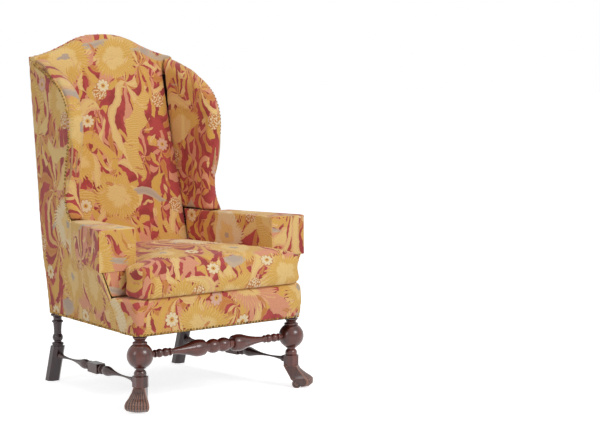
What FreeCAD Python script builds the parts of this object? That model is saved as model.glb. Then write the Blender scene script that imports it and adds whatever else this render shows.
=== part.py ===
import FreeCAD, Part
import Sketcher
import math
import os

# Wingback armchair with a turned underframe, loose seat cushion and loose arm caps.
# Millimetres. +Z is up, the chair faces -Y, and the origin is on the floor at the middle
# of the chair's width and depth. Depths are first given behind the front legs' centre line.

doc = FreeCAD.newDocument("wingback_armchair")
sheet = doc.addObject("Spreadsheet::Sheet", "size")
sheet.Label = "size"

SIZES = [
    ("height", 1250, "floor to the top of the crest"),
    # Front legs
    ("front_leg_half", 320, "middle of the chair to a front leg's centre line"),
    ("ball_radius", 44.5, "large turned ball"),
    ("ball_height", 184, "floor to the ball's centre"),
    ("collar_radius", 24, "flared collar under the seat"),
    ("leg_block", 48, "square of the front leg's lower block"),
    ("leg_block_cant", 11, "cut corners of that block"),
    ("block_bottom", 79, "floor to the underside of the lower block"),
    ("block_rise", 36, "height of the lower block"),
    ("leg_tenon_radius", 11, "round tenon on top of a leg"),
    ("leg_tenon_length", 55, "reach of that tenon into the seat frame"),
    # Feet
    ("ankle_width", 40, "top of the brush foot, across"),
    ("foot_width", 84, "brush foot at the toe, across"),
    ("foot_length", 76, "leg's centre line to the middle of the toe"),
    ("toe_bow", 16, "how far the toe's corners lie behind its middle"),
    ("reed_fullness", 0.3, "rise of a reed against its width"),
    ("scroll_radius", 16, "roll under the toe"),
    ("reed_count", 9, "reeds carved on each foot"),
    ("foot_pin_radius", 8, "dowel on top of a foot"),
    ("foot_pin_length", 10, "reach of that dowel into the block"),
    # Rear legs and back posts, each one timber
    ("rear_leg_half", 277, "middle of the chair to a rear leg's centre line"),
    ("rear_leg_depth", 598, "front leg line to the rear legs' turned part"),
    ("rear_foot_depth", 640, "front leg line to the middle of a rear foot"),
    ("rear_block", 46, "square of the rear leg's block"),
    ("rear_block_cant", 11, "cut corners of that block"),
    ("rear_block_top", 132, "floor to the top of that block"),
    ("post_square", 40, "back post inside the upholstery"),
    ("post_clear", 2, "between a back post and the side cover"),
    # Stretchers
    ("front_stretcher_radius", 29, "front stretcher at its fullest"),
    ("stretcher_tenon_radius", 7.5, "round tenons of the stretchers"),
    ("stretcher_tenon_length", 20, "reach of those tenons"),
    ("stretcher_shoulder", 1, "shoulder round those tenons"),
    ("shoulder_sink", 3, "how deep the rear shoulder is let into the raked block"),
    ("side_stretcher_radius", 16, "side stretcher at its fullest"),
    ("side_block", 34, "square block in the middle of a side stretcher"),
    ("side_block_length", 66, "length of that block"),
    ("joint_gap", 0.1, "glue line round a tenon"),
    # Seat frame
    ("rail_bottom", 252, "floor to the underside of the seat rails"),
    ("rail_height", 80, "height of the seat rails"),
    ("front_rail_thick", 32, "front rail"),
    ("side_rail_thick", 26, "side and rear rails"),
    ("corner_block_leg", 70, "glued corner blocks, along each rail"),
    ("corner_block_height", 56, "glued corner blocks"),
    ("front_padding", 6, "padding in front of the front rail"),
    ("seat_cover_bottom", 247, "floor to the lower edge of the seat's cover"),
    ("deck_top", 373, "floor to the top of the sprung seat deck"),
    ("deck_thick", 26, "stuffing of the deck over the springs"),
    ("cover_front", 23, "seat cover in front of the front leg line"),
    ("cover_swell", 9, "how far the padded front swells forward"),
    ("cover_front_half", 346, "middle to the seat cover's front corner"),
    ("cover_rear_half", 297, "middle to the seat cover's rear corner"),
    ("cover_corner_radius", 22, "rounding of the front corners"),
    ("apron_proud", 4, "front cover's ends stand out over the side covers"),
    # Arms
    ("arm_front", 72, "front leg line back to the front of the arms"),
    ("arm_top", 598, "floor to the top of the stuffed arms"),
    ("arm_flare_height", 465, "floor to where the leaning sides turn upright"),
    ("arm_outer_half", 428, "middle to the outside of the arm's front"),
    ("arm_inner_half", 292, "middle to the inside of the arm's front"),
    ("arm_inner_rear_half", 255, "middle to the inside of the arm at the back"),
    ("arm_inner_rear_depth", 545, "front leg line to the place of that size"),
    ("sill_half", 339, "middle to the seat rail's cover below the arm's front"),
    ("side_cover", 8, "padded cloth on the outside of the frame"),
    ("arm_padding", 10, "padding on top of the arms"),
    ("inner_padding", 28, "padding on the inside of the arms"),
    ("front_plate", 10, "padding on the arms' fronts"),
    ("arm_rail_thick", 26, "board along the arm's top"),
    ("arm_post_thick", 30, "arm post, front to back"),
    ("arm_post_width", 52, "arm post, across"),
    ("tuck_rail_thick", 18, "tuck rail beside the deck"),
    ("tuck_rail_height", 28, "tuck rail beside the deck"),
    ("cap_thick", 5, "lined cloth of the arm caps"),
    ("cap_gap", 0.8, "air between an arm cap and the arm"),
    ("cap_drop", 136, "height of the caps' flaps"),
    ("cap_rear", 397, "front leg line to the rear edge of the caps' tops"),
    ("wing_base_depth", 402, "front leg line to the wing's edge at the arm"),
    # Wings
    ("knee_depth", 430, "front leg line to where the arms start to flare"),
    ("knee_half", 325, "middle to the outside of the sides at that place"),
    ("back_corner_half", 299, "middle to the outside of the back's top corners"),
    ("wing_thick", 58, "wing with its padding"),
    ("wing_board", 24, "boards of the wing frame"),
    ("wing_post_width", 52, "front board of a wing"),
    ("wing_rail_height", 62, "top board of a wing"),
    ("wing_post_bow", 36, "rise of the front board's curved edge"),
    ("wing_rail_bow", 12, "rise of the top board's curved edge"),
    ("wing_roll", 25, "rounding of the padded wing edge"),
    ("wing_bow_depth", 404, "front leg line to the foremost point of the wings"),
    ("wing_bow_height", 950, "floor to that point"),
    ("wing_waist_depth", 436, "front leg line to the hollow below the bow"),
    ("wing_waist_height", 725, "floor to that hollow"),
    ("wing_shoulder_depth", 447, "front leg line to the upper curve of the wings"),
    ("wing_shoulder_height", 1045, "floor to that place"),
    ("wing_slope_depth", 524, "front leg line to the slope behind it"),
    ("wing_slope_height", 1101, "floor to that place"),
    ("wing_seam", 20, "nailed seam behind the wing's padded edge"),
    # Back
    ("back_low_depth", 620, "front leg line to the foot of the outside back"),
    ("back_corner_depth", 742, "front leg line to the back's top corners"),
    ("back_corner_height", 1166, "floor to those corners"),
    ("back_bow", 7, "hollow of the raked back in side view"),
    ("crest_rail_height", 70, "crest rail below the top corners"),
    ("back_rail_thick", 24, "crest rail and lower back rail"),
    ("back_cover", 6, "cloth and board of the outside back"),
    ("crest_padding", 10, "padding over the crest rail"),
    ("hump_half", 140, "middle to where the hump's curve turns hollow"),
    ("hump_drop", 33, "top of the hump down to that place"),
    ("shoulder_radius", 545, "hollow curve beside the hump"),
    ("seat_line_depth", 507, "front leg line to the inside back at the deck"),
    ("inside_top_depth", 694, "front leg line to the inside back at corner height"),
    ("inside_crown", 12, "fullness of the inside back in the middle"),
    ("panel_gap", 1.0, "shadow line between neighbouring covers"),
    # Loose cushion
    ("cushion_half", 341, "half width of the cushion's front"),
    ("cushion_front", 44, "cushion in front of the front leg line"),
    ("ear_back", 62, "front leg line to the back of the cushion's ears"),
    ("cushion_border", 108, "height of the cushion at its edges"),
    ("cushion_crown", 30, "extra height in the middle"),
    ("cushion_waist", 4, "how far the sides draw in between the corners"),
    ("cushion_corner", 34, "rounding of its front corners in plan"),
    ("cushion_middle", 240, "front leg line to the cushion's highest place"),
    ("cushion_gap", 2.5, "play beside and behind the cushion"),
    ("rest_gap", 0.4, "air under the pieces that only lie on"),
    # Nails
    ("nail_pitch", 13, "spacing of the brass nails"),
    ("nail_radius", 5, "head of a brass nail"),
    ("nail_rise", 3, "height of a nail's head"),
    # Springs and webbing
    ("web_width", 50, "jute webbing"),
    ("web_thick", 2, "jute webbing"),
    ("web_pitch", 80, "spacing of the webbing"),
    ("dust_cover_thick", 1, "cloth under the seat"),
    ("spring_radius", 38, "coil spring at its ends"),
    ("spring_waist", 26, "coil spring at its middle"),
    ("spring_wire", 2.2, "radius of the spring wire"),
    ("spring_turns", 4, "turns of a spring"),
]
for row, (alias, number, meaning) in enumerate(SIZES, start=1):
    sheet.set("A%d" % row, alias)
    sheet.set("B%d" % row, str(number))
    sheet.set("C%d" % row, meaning)
    sheet.setAlias("B%d" % row, alias)
doc.recompute()


class Size:
    """A size that knows its value and the formula that ties it to the sheet."""

    def __init__(self, formula, value):
        self.formula = formula
        self.value = value

    @staticmethod
    def of(other):
        if isinstance(other, Size):
            return other
        return Size(repr(float(other)), float(other))

    def join(self, sign, other, value):
        return Size("(%s %s %s)" % (self.formula, sign, other.formula), value)

    def __add__(self, other):
        other = Size.of(other)
        return self.join("+", other, self.value + other.value)

    def __sub__(self, other):
        other = Size.of(other)
        return self.join("-", other, self.value - other.value)

    def __mul__(self, other):
        other = Size.of(other)
        return self.join("*", other, self.value * other.value)

    def __truediv__(self, other):
        other = Size.of(other)
        return self.join("/", other, self.value / other.value)

    def __radd__(self, other):
        return Size.of(other) + self

    def __rsub__(self, other):
        return Size.of(other) - self

    def __rmul__(self, other):
        return Size.of(other) * self

    def __neg__(self):
        return Size.of(0) - self

    def __float__(self):
        return float(self.value)


class Sizes:
    """Every row of the sheet as an attribute."""


s = Sizes()
for alias, number, meaning in SIZES:
    setattr(s, alias, Size("size." + alias, float(sheet.get(alias))))


def root(size):
    return Size("sqrt(%s)" % size.formula, math.sqrt(size.value))


def bind(thing, field, size):
    """Ties a field of an object to the sheet, or sets it where it is a plain number."""
    if isinstance(size, Size):
        thing.setExpression(field, size.formula)
    else:
        setattr(thing, field, size)


def new_body(label):
    body = doc.addObject("PartDesign::Body", label)
    body.Label = label
    return body


def origin_plane(body, role):
    return [item for item in body.Origin.OriginFeatures if item.Role == role][0]


def arc_apex(start, end, radius):
    """Middle point of the short arc between two points, its centre on the left when radius > 0."""
    chord = end - start
    left = FreeCAD.Vector(-chord.y, chord.x, 0).normalize()
    sag = abs(radius) - math.sqrt(radius * radius - chord.Length * chord.Length / 4)
    return (start + end) * 0.5 - left * math.copysign(sag, radius)


def draw(body, role, outline, offset=None):
    """A sketch of one closed outline, every corner tied to the sheet.

    An entry is a corner (x, y), and a third value is the radius of the arc that leaves it.
    """
    sketch = body.newObject("Sketcher::SketchObject", body.Name + "_outline")
    sketch.AttachmentSupport = [(origin_plane(body, role), "")]
    sketch.MapMode = "FlatFace"
    if offset is not None:
        sketch.setExpression(".AttachmentOffset.Base.z", Size.of(offset).formula)
    corners = [FreeCAD.Vector(float(entry[0]), float(entry[1]), 0) for entry in outline]
    ends = []
    for index, entry in enumerate(outline):
        start = corners[index]
        end = corners[(index + 1) % len(corners)]
        if len(entry) == 3:
            apex = arc_apex(start, end, float(entry[2]))
            geometry = sketch.addGeometry(Part.ArcOfCircle(start, apex, end), False)
            swapped = (sketch.getPoint(geometry, 1) - start).Length > 1e-6
            ends.append((geometry, 2, 1) if swapped else (geometry, 1, 2))
        else:
            geometry = sketch.addGeometry(Part.LineSegment(start, end), False)
            ends.append((geometry, 1, 2))
    for index, entry in enumerate(outline):
        geometry, first, last = ends[index]
        follower = ends[(index + 1) % len(ends)]
        sketch.addConstraint(Sketcher.Constraint("Coincident", geometry, last, follower[0], follower[1]))
        for kind, size in (("DistanceX", entry[0]), ("DistanceY", entry[1])):
            spot = Sketcher.Constraint(kind, -1, 1, geometry, first, float(size))
            number = sketch.addConstraint(spot)
            if isinstance(size, Size):
                sketch.setExpression("Constraints[%d]" % number, size.formula)
        if len(entry) == 3:
            number = sketch.addConstraint(Sketcher.Constraint("Radius", geometry, abs(float(entry[2]))))
            if isinstance(entry[2], Size):
                sketch.setExpression("Constraints[%d]" % number, "abs(%s)" % entry[2].formula)
    return sketch


def pad(body, role, outline, length, offset=None, middle=False, back=False):
    feature = body.newObject("PartDesign::Pad", body.Name + "_pad")
    feature.Profile = draw(body, role, outline, offset)
    bind(feature, "Length", length)
    feature.Midplane = middle
    feature.Reversed = back
    return feature


def turn(body, outline, axis):
    """A turned form: the outline in the XZ plane, spun about the sketch's axis."""
    feature = body.newObject("PartDesign::Revolution", body.Name + "_turning")
    sketch = draw(body, "XZ_Plane", outline)
    feature.Profile = sketch
    feature.ReferenceAxis = (sketch, [axis])
    feature.Angle = 360
    return feature


def seat(thing, x, y, z, rotation=None):
    """Puts a piece in its place. Depths count from the front legs' centre line."""
    base = FreeCAD.Vector(float(x), float(y) + leg_line, float(z))
    thing.Placement = FreeCAD.Placement(base, rotation or FreeCAD.Rotation())
    return thing


pieces = []


def keep(thing, label):
    """Names a finished sub-part and puts it on the list of pieces to write."""
    thing.Label = label
    pieces.append(thing)
    return thing


def bore(label, point, direction, radius, length):
    """A round hole's tool, from a point along a direction."""
    tool = doc.addObject("Part::Cylinder", label + "_bore")
    bind(tool, "Radius", radius)
    bind(tool, "Height", length)
    aim = FreeCAD.Rotation(FreeCAD.Vector(0, 0, 1), direction)
    return seat(tool, point.x, point.y, point.z, aim)


def less(base, label, tools):
    """The base without the tools. The result is not yet a kept piece."""
    cutter = tools[0]
    if len(tools) > 1:
        cutter = doc.addObject("Part::MultiFuse", label + "_cutter")
        cutter.Shapes = tools
    cut = doc.addObject("Part::Cut", label)
    cut.Base = base
    cut.Tool = cutter
    return cut


def both(first, second, label):
    """What two forms have in common."""
    common = doc.addObject("Part::Common", label)
    common.Base = first
    common.Tool = second
    return common


def soft(label, shape):
    """A piece with a shape of its own, drawn in chair coordinates."""
    thing = doc.addObject("Part::Feature", label)
    thing.Shape = shape
    return seat(thing, 0, 0, 0)


def vector(x, y, z):
    return FreeCAD.Vector(float(x), float(y), float(z))


SIDES = (("left", -1), ("right", 1))
UP = FreeCAD.Vector(0, 0, 1)


def flat(outline, role):
    """A face with the same kind of outline as a sketch, on a principal plane."""
    corners = [FreeCAD.Vector(float(entry[0]), float(entry[1]), 0) for entry in outline]
    edges = []
    for index, entry in enumerate(outline):
        start = corners[index]
        end = corners[(index + 1) % len(corners)]
        if len(entry) == 3:
            edges.append(Part.Arc(start, arc_apex(start, end, float(entry[2])), end).toShape())
        else:
            edges.append(Part.makeLine(start, end))
    face = Part.Face(Part.Wire(edges))
    if role == "XZ":
        face.rotate(FreeCAD.Vector(), FreeCAD.Vector(1, 0, 0), 90)
    if role == "YZ":
        face.rotate(FreeCAD.Vector(), FreeCAD.Vector(1, 1, 1), 120)
    return face


NORMALS = {"XY": FreeCAD.Vector(0, 0, 1), "XZ": FreeCAD.Vector(0, 1, 0), "YZ": FreeCAD.Vector(1, 0, 0)}


def prism(outline, role, start, end):
    """A solid with a flat outline between two places along its normal."""
    face = flat(outline, role)
    face.translate(NORMALS[role] * float(start))
    return face.extrude(NORMALS[role] * (float(end) - float(start)))


def polygon(points):
    return Part.makePolygon([vector(*point) for point in points + points[:1]])


def mirrored(outline, side):
    """An outline of the right-hand side, turned over for the left."""
    return [(side * entry[0], entry[1]) + tuple(side * entry[2] for _ in entry[2:]) for entry in outline]


def arc_radius(chord, sag):
    """Radius of an arc from its chord and its rise."""
    return (chord * chord / 4 + sag * sag) / (2 * sag)


# Feet: a brush foot whose reeds fan out from the ankle and curl under into a scroll.
# A section is drawn between a back point and a front point, both in the foot's upright middle
# plane, and its front edge carries the reeds
def reeded_section(back, front, back_width, front_width, bow):
    outward = (front - back).normalize()
    across = FreeCAD.Vector(0, 1, 0)
    count = int(s.reed_count.value)
    reed_width = front_width / count
    rise = reed_width * s.reed_fullness.value

    def on_front(share):
        return front + across * (share * front_width / 2) - outward * (bow * share * share)

    edges = []
    for reed in range(count):
        first = -1 + 2 * reed / count
        last = -1 + 2 * (reed + 1) / count
        crown = (on_front(first) + on_front(last)) * 0.5 + outward * rise
        edges.append(Part.Arc(on_front(first), crown, on_front(last)).toShape())
    corners = [on_front(1), back + across * (back_width / 2), back - across * (back_width / 2), on_front(-1)]
    for start, end in zip(corners, corners[1:]):
        edges.append(Part.makeLine(start, end))
    return Part.Wire(edges)


def brush_foot():
    """The foot with its toe along +X and the leg's centre line as its upright axis."""
    ankle = s.ankle_width.value
    spread = s.foot_width.value - ankle
    top = s.block_bottom.value
    toe = s.foot_length.value
    roll = s.scroll_radius.value
    # Shares of the toe's length and of the foot's height for each section, then of the spread
    stations = [
        (-0.34, 1.00, 0.28, 1.00, 0.00),
        (-0.23, 0.82, 0.41, 0.82, 0.16),
        (-0.05, 0.53, 0.70, 0.61, 0.54),
        (0.03, 0.38, 0.88, 0.51, 0.84),
        (0.16, 0.30, 0.98, 0.42, 0.97),
        (0.26, 0.25, 1.00, 0.32, 1.00),
        (0.34, 0.21, 0.98, 0.20, 0.96),
        (0.38, 0.17, 0.85, 0.09, 0.78),
        (0.39, 0.12, 0.63, 0.04, 0.55),
    ]
    sections = []
    for back_u, back_z, front_u, front_z, share in stations:
        back = vector(back_u * toe, 0, back_z * top)
        front = vector(front_u * toe, 0, front_z * top)
        back_width = ankle + spread * share * 0.4
        front_width = ankle + spread * share
        sections.append(reeded_section(back, front, back_width, front_width, s.toe_bow.value * share))
    reeds = Part.makeLoft(sections, True, True)
    across = FreeCAD.Vector(0, 1, 0)
    scroll_length = ankle + spread * 0.4
    scroll_centre = vector(roll * 1.4, -scroll_length / 2, roll - 0.5)
    scroll = Part.makeCylinder(roll, scroll_length, scroll_centre, across)
    eye_proud = 2.0
    eye = Part.makeCylinder(roll * 0.42, scroll_length + 2 * eye_proud, scroll_centre - across * eye_proud, across)
    pin = Part.makeCylinder(s.foot_pin_radius.value, s.foot_pin_length.value + 5, vector(0, 0, top - 5))
    floor = Part.makeBox(4 * toe, 4 * toe, toe, vector(-2 * toe, -2 * toe, -toe))
    return reeds.fuse([scroll, eye, pin]).cut(floor).removeSplitter()


# Where the chair's parts lie in depth. The origin is in the middle of the whole depth
back_rise = s.back_corner_height - s.seat_cover_bottom


def back_depth(height):
    """Depth of the outside back at a height: a raked line with a slight bow."""
    share = (height - s.seat_cover_bottom) / back_rise
    straight = s.back_low_depth + (s.back_corner_depth - s.back_low_depth) * share
    return straight + 4 * s.back_bow * share * (1 - share)


foot_form = brush_foot()
TOE_TURN = 45
toe_view = foot_form.copy()
toe_view.rotate(FreeCAD.Vector(), UP, -TOE_TURN)
leg_line = (-toe_view.optimalBoundingBox(False).YMin - back_depth(s.height).value) / 2
print("leg line at %.3f mm" % leg_line)

for name, side in SIDES:
    foot = soft("front_foot_" + name, foot_form)
    heading = FreeCAD.Rotation(UP, -90 + side * TOE_TURN)
    keep(seat(foot, side * s.front_leg_half, 0, 0, heading), "front_foot_" + name)

# Front legs: a turned ball leg over a square block with cut corners
block_top = s.block_bottom + s.block_rise
neck_radius = s.ball_radius * 0.46
ring_radius = s.ball_radius * 0.52
ball_low = s.ball_height - root(s.ball_radius * s.ball_radius - neck_radius * neck_radius)
ball_high = s.ball_height + root(s.ball_radius * s.ball_radius - ring_radius * ring_radius)


def canted_square(square, cant):
    """A square with cut corners, centred on the origin."""
    half = square / 2
    short = half - cant
    return [
        (-short, -half), (short, -half), (half, -short), (half, short),
        (short, half), (-short, half), (-half, short), (-half, -short),
    ]


# Side stretchers run from the front block to the raked rear block, at the front block's middle
side_stretcher_height = s.block_bottom + s.block_rise / 2
rear_lean = (s.rear_foot_depth - s.rear_leg_depth) / s.rear_block_top
side_stretcher_rear = s.rear_foot_depth - rear_lean * side_stretcher_height
side_splay = s.front_leg_half - s.rear_leg_half
side_stretcher_span = root(side_splay * side_splay + side_stretcher_rear * side_stretcher_rear)
side_stretcher_end = side_stretcher_span - s.rear_block / 2 + s.shoulder_sink
stretcher_neck = s.stretcher_tenon_radius + s.stretcher_shoulder
ball_face = root(s.ball_radius * s.ball_radius - stretcher_neck * stretcher_neck)


def side_stretcher_way(side):
    return vector(-side * side_splay, side_stretcher_rear, 0).normalize()


def front_leg(name, side):
    body = new_body("front_leg_%s_turned" % name)
    collar = s.collar_radius
    collar_low = s.seat_cover_bottom - 4
    turn(body, [
        (0, block_top - 6),
        (collar * 0.8, block_top - 6),
        (collar * 0.86, block_top + 3, arc_radius(root(17 * 17 + collar * collar * 0.0324), Size.of(2.4))),
        (collar * 0.68, block_top + 20),
        (collar * 0.6, block_top + 21.5),
        (collar * 0.6, ball_low - 4),
        (neck_radius, ball_low - 2),
        (neck_radius, ball_low, s.ball_radius),
        (ring_radius, ball_high, Size.of(5)),
        (ring_radius, ball_high + 8),
        (collar * 0.72, ball_high + 9, Size.of(-16)),
        (collar, collar_low),
        (collar, s.seat_cover_bottom),
        (collar * 0.6, s.seat_cover_bottom),
        (collar * 0.6, s.rail_bottom),
        (s.leg_tenon_radius, s.rail_bottom),
        (s.leg_tenon_radius, s.rail_bottom + s.leg_tenon_length),
        (0, s.rail_bottom + s.leg_tenon_length),
    ], "V_Axis")
    pad(body, "XY_Plane", canted_square(s.leg_block, s.leg_block_cant), s.block_rise, s.block_bottom)
    seat(body, side * s.front_leg_half, 0, 0)
    inward = vector(-side, 0, 0)
    way = side_stretcher_way(side)
    axis = vector(side * s.front_leg_half, 0, 0)
    tenon = s.stretcher_tenon_radius + s.joint_gap
    front_mouth = axis + inward * (s.ball_radius - s.stretcher_tenon_length).value + UP * s.ball_height.value
    side_mouth = axis + way * (s.leg_block / 2 - s.stretcher_tenon_length).value
    side_mouth = side_mouth + UP * side_stretcher_height.value
    front_shoulder = axis + inward * ball_face.value + UP * s.ball_height.value
    side_shoulder = axis + way * (s.leg_block / 2).value + UP * side_stretcher_height.value
    pin_mouth = axis + UP * s.block_bottom.value
    bored = less(body, "front_leg_%s_bored" % name, [
        bore("front", front_mouth, inward, tenon, s.ball_radius),
        bore("side", side_mouth, way, tenon, s.leg_block),
        bore("front_shoulder", front_shoulder, inward, tenon + s.stretcher_shoulder, s.ball_radius),
        bore("side_shoulder", side_shoulder, way, tenon + s.stretcher_shoulder, s.leg_block),
        bore("pin", pin_mouth, UP, s.foot_pin_radius + s.joint_gap, s.foot_pin_length + s.joint_gap),
    ])
    return keep(bored, "front_leg_" + name)


for name, side in SIDES:
    front_leg(name, side)


# Front stretcher, turned: bobbins, a long vase towards the middle and two beads there
def mirror_turning(half_profile):
    """The whole outline of a symmetric turning from its right half, which ends at the middle."""
    right = list(half_profile)
    left = []
    for index in range(len(right) - 1, -1, -1):
        entry = right[index]
        before = right[index - 1] if index > 0 else ()
        left.append((-entry[0], entry[1]) + tuple(before[2:]))
    return right + left


def front_stretcher():
    body = new_body("front_stretcher")
    full = s.front_stretcher_radius
    tenon = s.stretcher_tenon_radius
    neck = stretcher_neck
    shoulder = s.front_leg_half - ball_face
    end = s.front_leg_half - s.ball_radius + s.stretcher_tenon_length - s.joint_gap
    bobbin = full * 0.4
    vase_start = shoulder - 84
    vase_full = shoulder * 0.25
    waist = full * 0.58
    bead = vase_full - 30
    half = [
        (end, 0),
        (end, tenon),
        (shoulder, tenon),
        (shoulder, neck),
        (shoulder - 10, neck),
        (shoulder - 12, bobbin, Size.of(4)),
        (shoulder - 19, bobbin),
        (shoulder - 21, bobbin * 0.7, Size.of(15)),
        (shoulder - 46, bobbin * 0.7, Size.of(15)),
        (shoulder - 71, bobbin * 0.7),
        (shoulder - 73, bobbin, Size.of(4)),
        (shoulder - 80, bobbin),
        (vase_start, bobbin * 0.85, Size.of(-330)),
        (vase_full + 40, full * 0.86, Size.of(70)),
        (vase_full, full * 0.95, Size.of(9)),
        (vase_full - 10, waist),
        (vase_full - 26, waist),
        (vase_full - 28, waist * 1.12, arc_radius(bead, full * 0.2)),
        (2, waist * 1.12),
    ]
    turn(body, mirror_turning(half), "H_Axis")
    return keep(seat(body, 0, 0, s.ball_height), "front_stretcher")


front_stretcher()


# Side stretchers: a turned vase on either side of a square block
def side_stretcher(name, side):
    body = new_body("side_stretcher_" + name)
    full = s.side_stretcher_radius
    tenon = s.stretcher_tenon_radius
    neck = stretcher_neck
    front_face = s.leg_block / 2
    rear_face = side_stretcher_end
    middle = (front_face + rear_face) / 2
    reach = (rear_face - front_face) / 2
    half_block = s.side_block_length / 2
    half = [
        (reach + s.stretcher_tenon_length - s.joint_gap, 0),
        (reach + s.stretcher_tenon_length - s.joint_gap, tenon),
        (reach, tenon),
        (reach, neck),
        (reach - 12, neck),
        (reach - 14, neck * 1.25, Size.of(4)),
        (reach - 20, neck * 1.25),
        (reach - 22, neck, Size.of(-420)),
        (half_block + 60, full, Size.of(60)),
        (half_block + 22, full * 0.72),
        (half_block + 16, full * 0.72),
        (half_block + 15, full * 0.95, Size.of(5)),
        (half_block + 7, full * 0.95),
        (half_block + 6, full * 0.75),
        (half_block - 4, full * 0.75),
    ]
    turn(body, mirror_turning(half), "H_Axis")
    square = s.side_block / 2
    block = [(-square, -square), (square, -square), (square, square), (-square, square)]
    pad(body, "YZ_Plane", block, s.side_block_length, -half_block)
    way = side_stretcher_way(side)
    centre = vector(side * s.front_leg_half, 0, side_stretcher_height) + way * middle.value
    heading = FreeCAD.Rotation(FreeCAD.Vector(1, 0, 0), way)
    return keep(seat(body, centre.x, centre.y, centre.z, heading), "side_stretcher_" + name)


for name, side in SIDES:
    side_stretcher(name, side)


# Rear legs and back posts. Below the seat a turned part stands on a raked block with cut
# corners. Inside the upholstery the same timber goes on as a square post that follows the back
post_outer_half = s.cover_rear_half - s.side_cover - s.post_clear
back_radius = arc_radius(back_rise, s.back_bow)


def post_front(height):
    """Depth of the posts' front faces."""
    return back_depth(height) - s.side_cover - s.post_square


def raked_strip(rear, thick, low, high):
    """Side view of something that follows the back between two heights."""
    return [
        (back_depth(low) - rear - thick, low),
        (back_depth(low) - rear, low, back_radius),
        (back_depth(high) - rear, high),
        (back_depth(high) - rear - thick, high, -back_radius),
    ]


def shifted(outline, x, y=0):
    return [(entry[0] - x, entry[1] - y) + tuple(entry[2:]) for entry in outline]


crest_rail_bottom = s.back_corner_height - s.crest_rail_height


def rear_post(name, side):
    body = new_body("rear_post_%s_timber" % name)
    half = s.rear_block / 2
    rake = s.rear_foot_depth - s.rear_leg_depth
    top = s.rear_block_top
    block = pad(body, "YZ_Plane", [(rake - half, 0), (rake + half, 0), (half, top), (-half, top)],
                s.rear_block, middle=True)
    doc.recompute()
    long_edges = []
    for number, edge in enumerate(block.Shape.Edges, start=1):
        if edge.Length > top.value - 1:
            long_edges.append("Edge%d" % number)
    cant = body.newObject("PartDesign::Chamfer", body.Name + "_cant")
    cant.Base = (block, long_edges)
    bind(cant, "Size", s.rear_block_cant)
    full = half * 0.9
    collar_low = s.seat_cover_bottom - 5
    turn(body, [
        (0, top - 3),
        (full * 0.92, top - 3),
        (full * 0.92, top + 4, arc_radius(Size.of(8), Size.of(2))),
        (full * 0.92, top + 12),
        (full * 0.62, top + 14),
        (full * 0.62, top + 17, arc_radius(Size.of(26), full * 0.27)),
        (full * 0.66, top + 43, Size.of(-220)),
        (full * 0.78, top + 84),
        (full * 0.9, top + 85, Size.of(4)),
        (full * 0.9, top + 92),
        (full * 0.72, top + 94),
        (full * 0.72, collar_low - 8, Size.of(-14)),
        (full * 1.15, collar_low),
        (full * 1.15, s.seat_cover_bottom),
        (full * 0.5, s.seat_cover_bottom),
        (full * 0.5, s.rail_bottom),
        (0, s.rail_bottom),
    ], "V_Axis")
    left_face = side * (s.rear_leg_half - post_outer_half + s.post_square / 2) * -1 - s.post_square / 2
    outline = raked_strip(s.side_cover, s.post_square, s.rail_bottom, crest_rail_bottom)
    pad(body, "YZ_Plane", shifted(outline, s.rear_leg_depth), s.post_square, left_face)
    seat(body, side * s.rear_leg_half, s.rear_leg_depth, 0)
    axis = vector(side * s.rear_leg_half, s.rear_leg_depth, 0)
    way = side_stretcher_way(side)
    end = vector(side * s.front_leg_half, 0, side_stretcher_height)
    end = end + way * (side_stretcher_end + s.stretcher_tenon_length).value
    tenon = s.stretcher_tenon_radius + s.joint_gap
    face = end - way * s.stretcher_tenon_length.value
    bored = less(body, "rear_post_%s_bored" % name, [
        bore("rear", end, way * -1, tenon, s.rear_block),
        bore("rear_shoulder", face, way * -1, tenon + s.stretcher_shoulder, s.rear_block),
    ])
    return keep(bored, "rear_post_" + name)


posts = {}
for name, side in SIDES:
    posts[side] = rear_post(name, side)


# Seat frame
def cover_half(depth):
    """Half width of the seat's side covers at rail height."""
    run = s.back_low_depth - s.arm_front
    return s.sill_half + (s.cover_rear_half - s.sill_half) * (depth - s.arm_front) / run


def rail_outer(depth):
    return cover_half(depth) - s.side_cover


def rail_inner(depth):
    return rail_outer(depth) - s.side_rail_thick


front_rail_front = -(s.cover_front - s.front_padding)
front_rail_rear = front_rail_front + s.front_rail_thick
front_rail_half = rail_outer(front_rail_rear)
rear_rail_rear = post_front(s.rail_bottom) + s.post_square * 0.75
rear_rail_front = rear_rail_rear - s.side_rail_thick
post_inner_half = post_outer_half - s.post_square
rail_top = s.rail_bottom + s.rail_height


def plan_board(label, outline, low, thick):
    body = new_body(label + "_board")
    pad(body, "XY_Plane", outline, thick, low)
    return seat(body, 0, 0, 0)


def rectangle(left, right, low, high):
    return [(left, low), (right, low), (right, high), (left, high)]


front_board = plan_board(
    "front_rail", rectangle(-front_rail_half, front_rail_half, front_rail_front, front_rail_rear),
    s.rail_bottom, s.rail_height)
tenon_holes = []
for name, side in SIDES:
    tenon_holes.append(bore("front_rail_" + name, vector(side * s.front_leg_half, 0, s.rail_bottom), UP,
                            s.leg_tenon_radius + s.joint_gap, s.leg_tenon_length + 1))
front_rail = keep(less(front_board, "front_rail_bored", tenon_holes), "front_rail")
rear_rail = keep(plan_board(
    "rear_rail", rectangle(-post_inner_half, post_inner_half, rear_rail_front, rear_rail_rear),
    s.rail_bottom, s.rail_height), "rear_rail")

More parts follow.
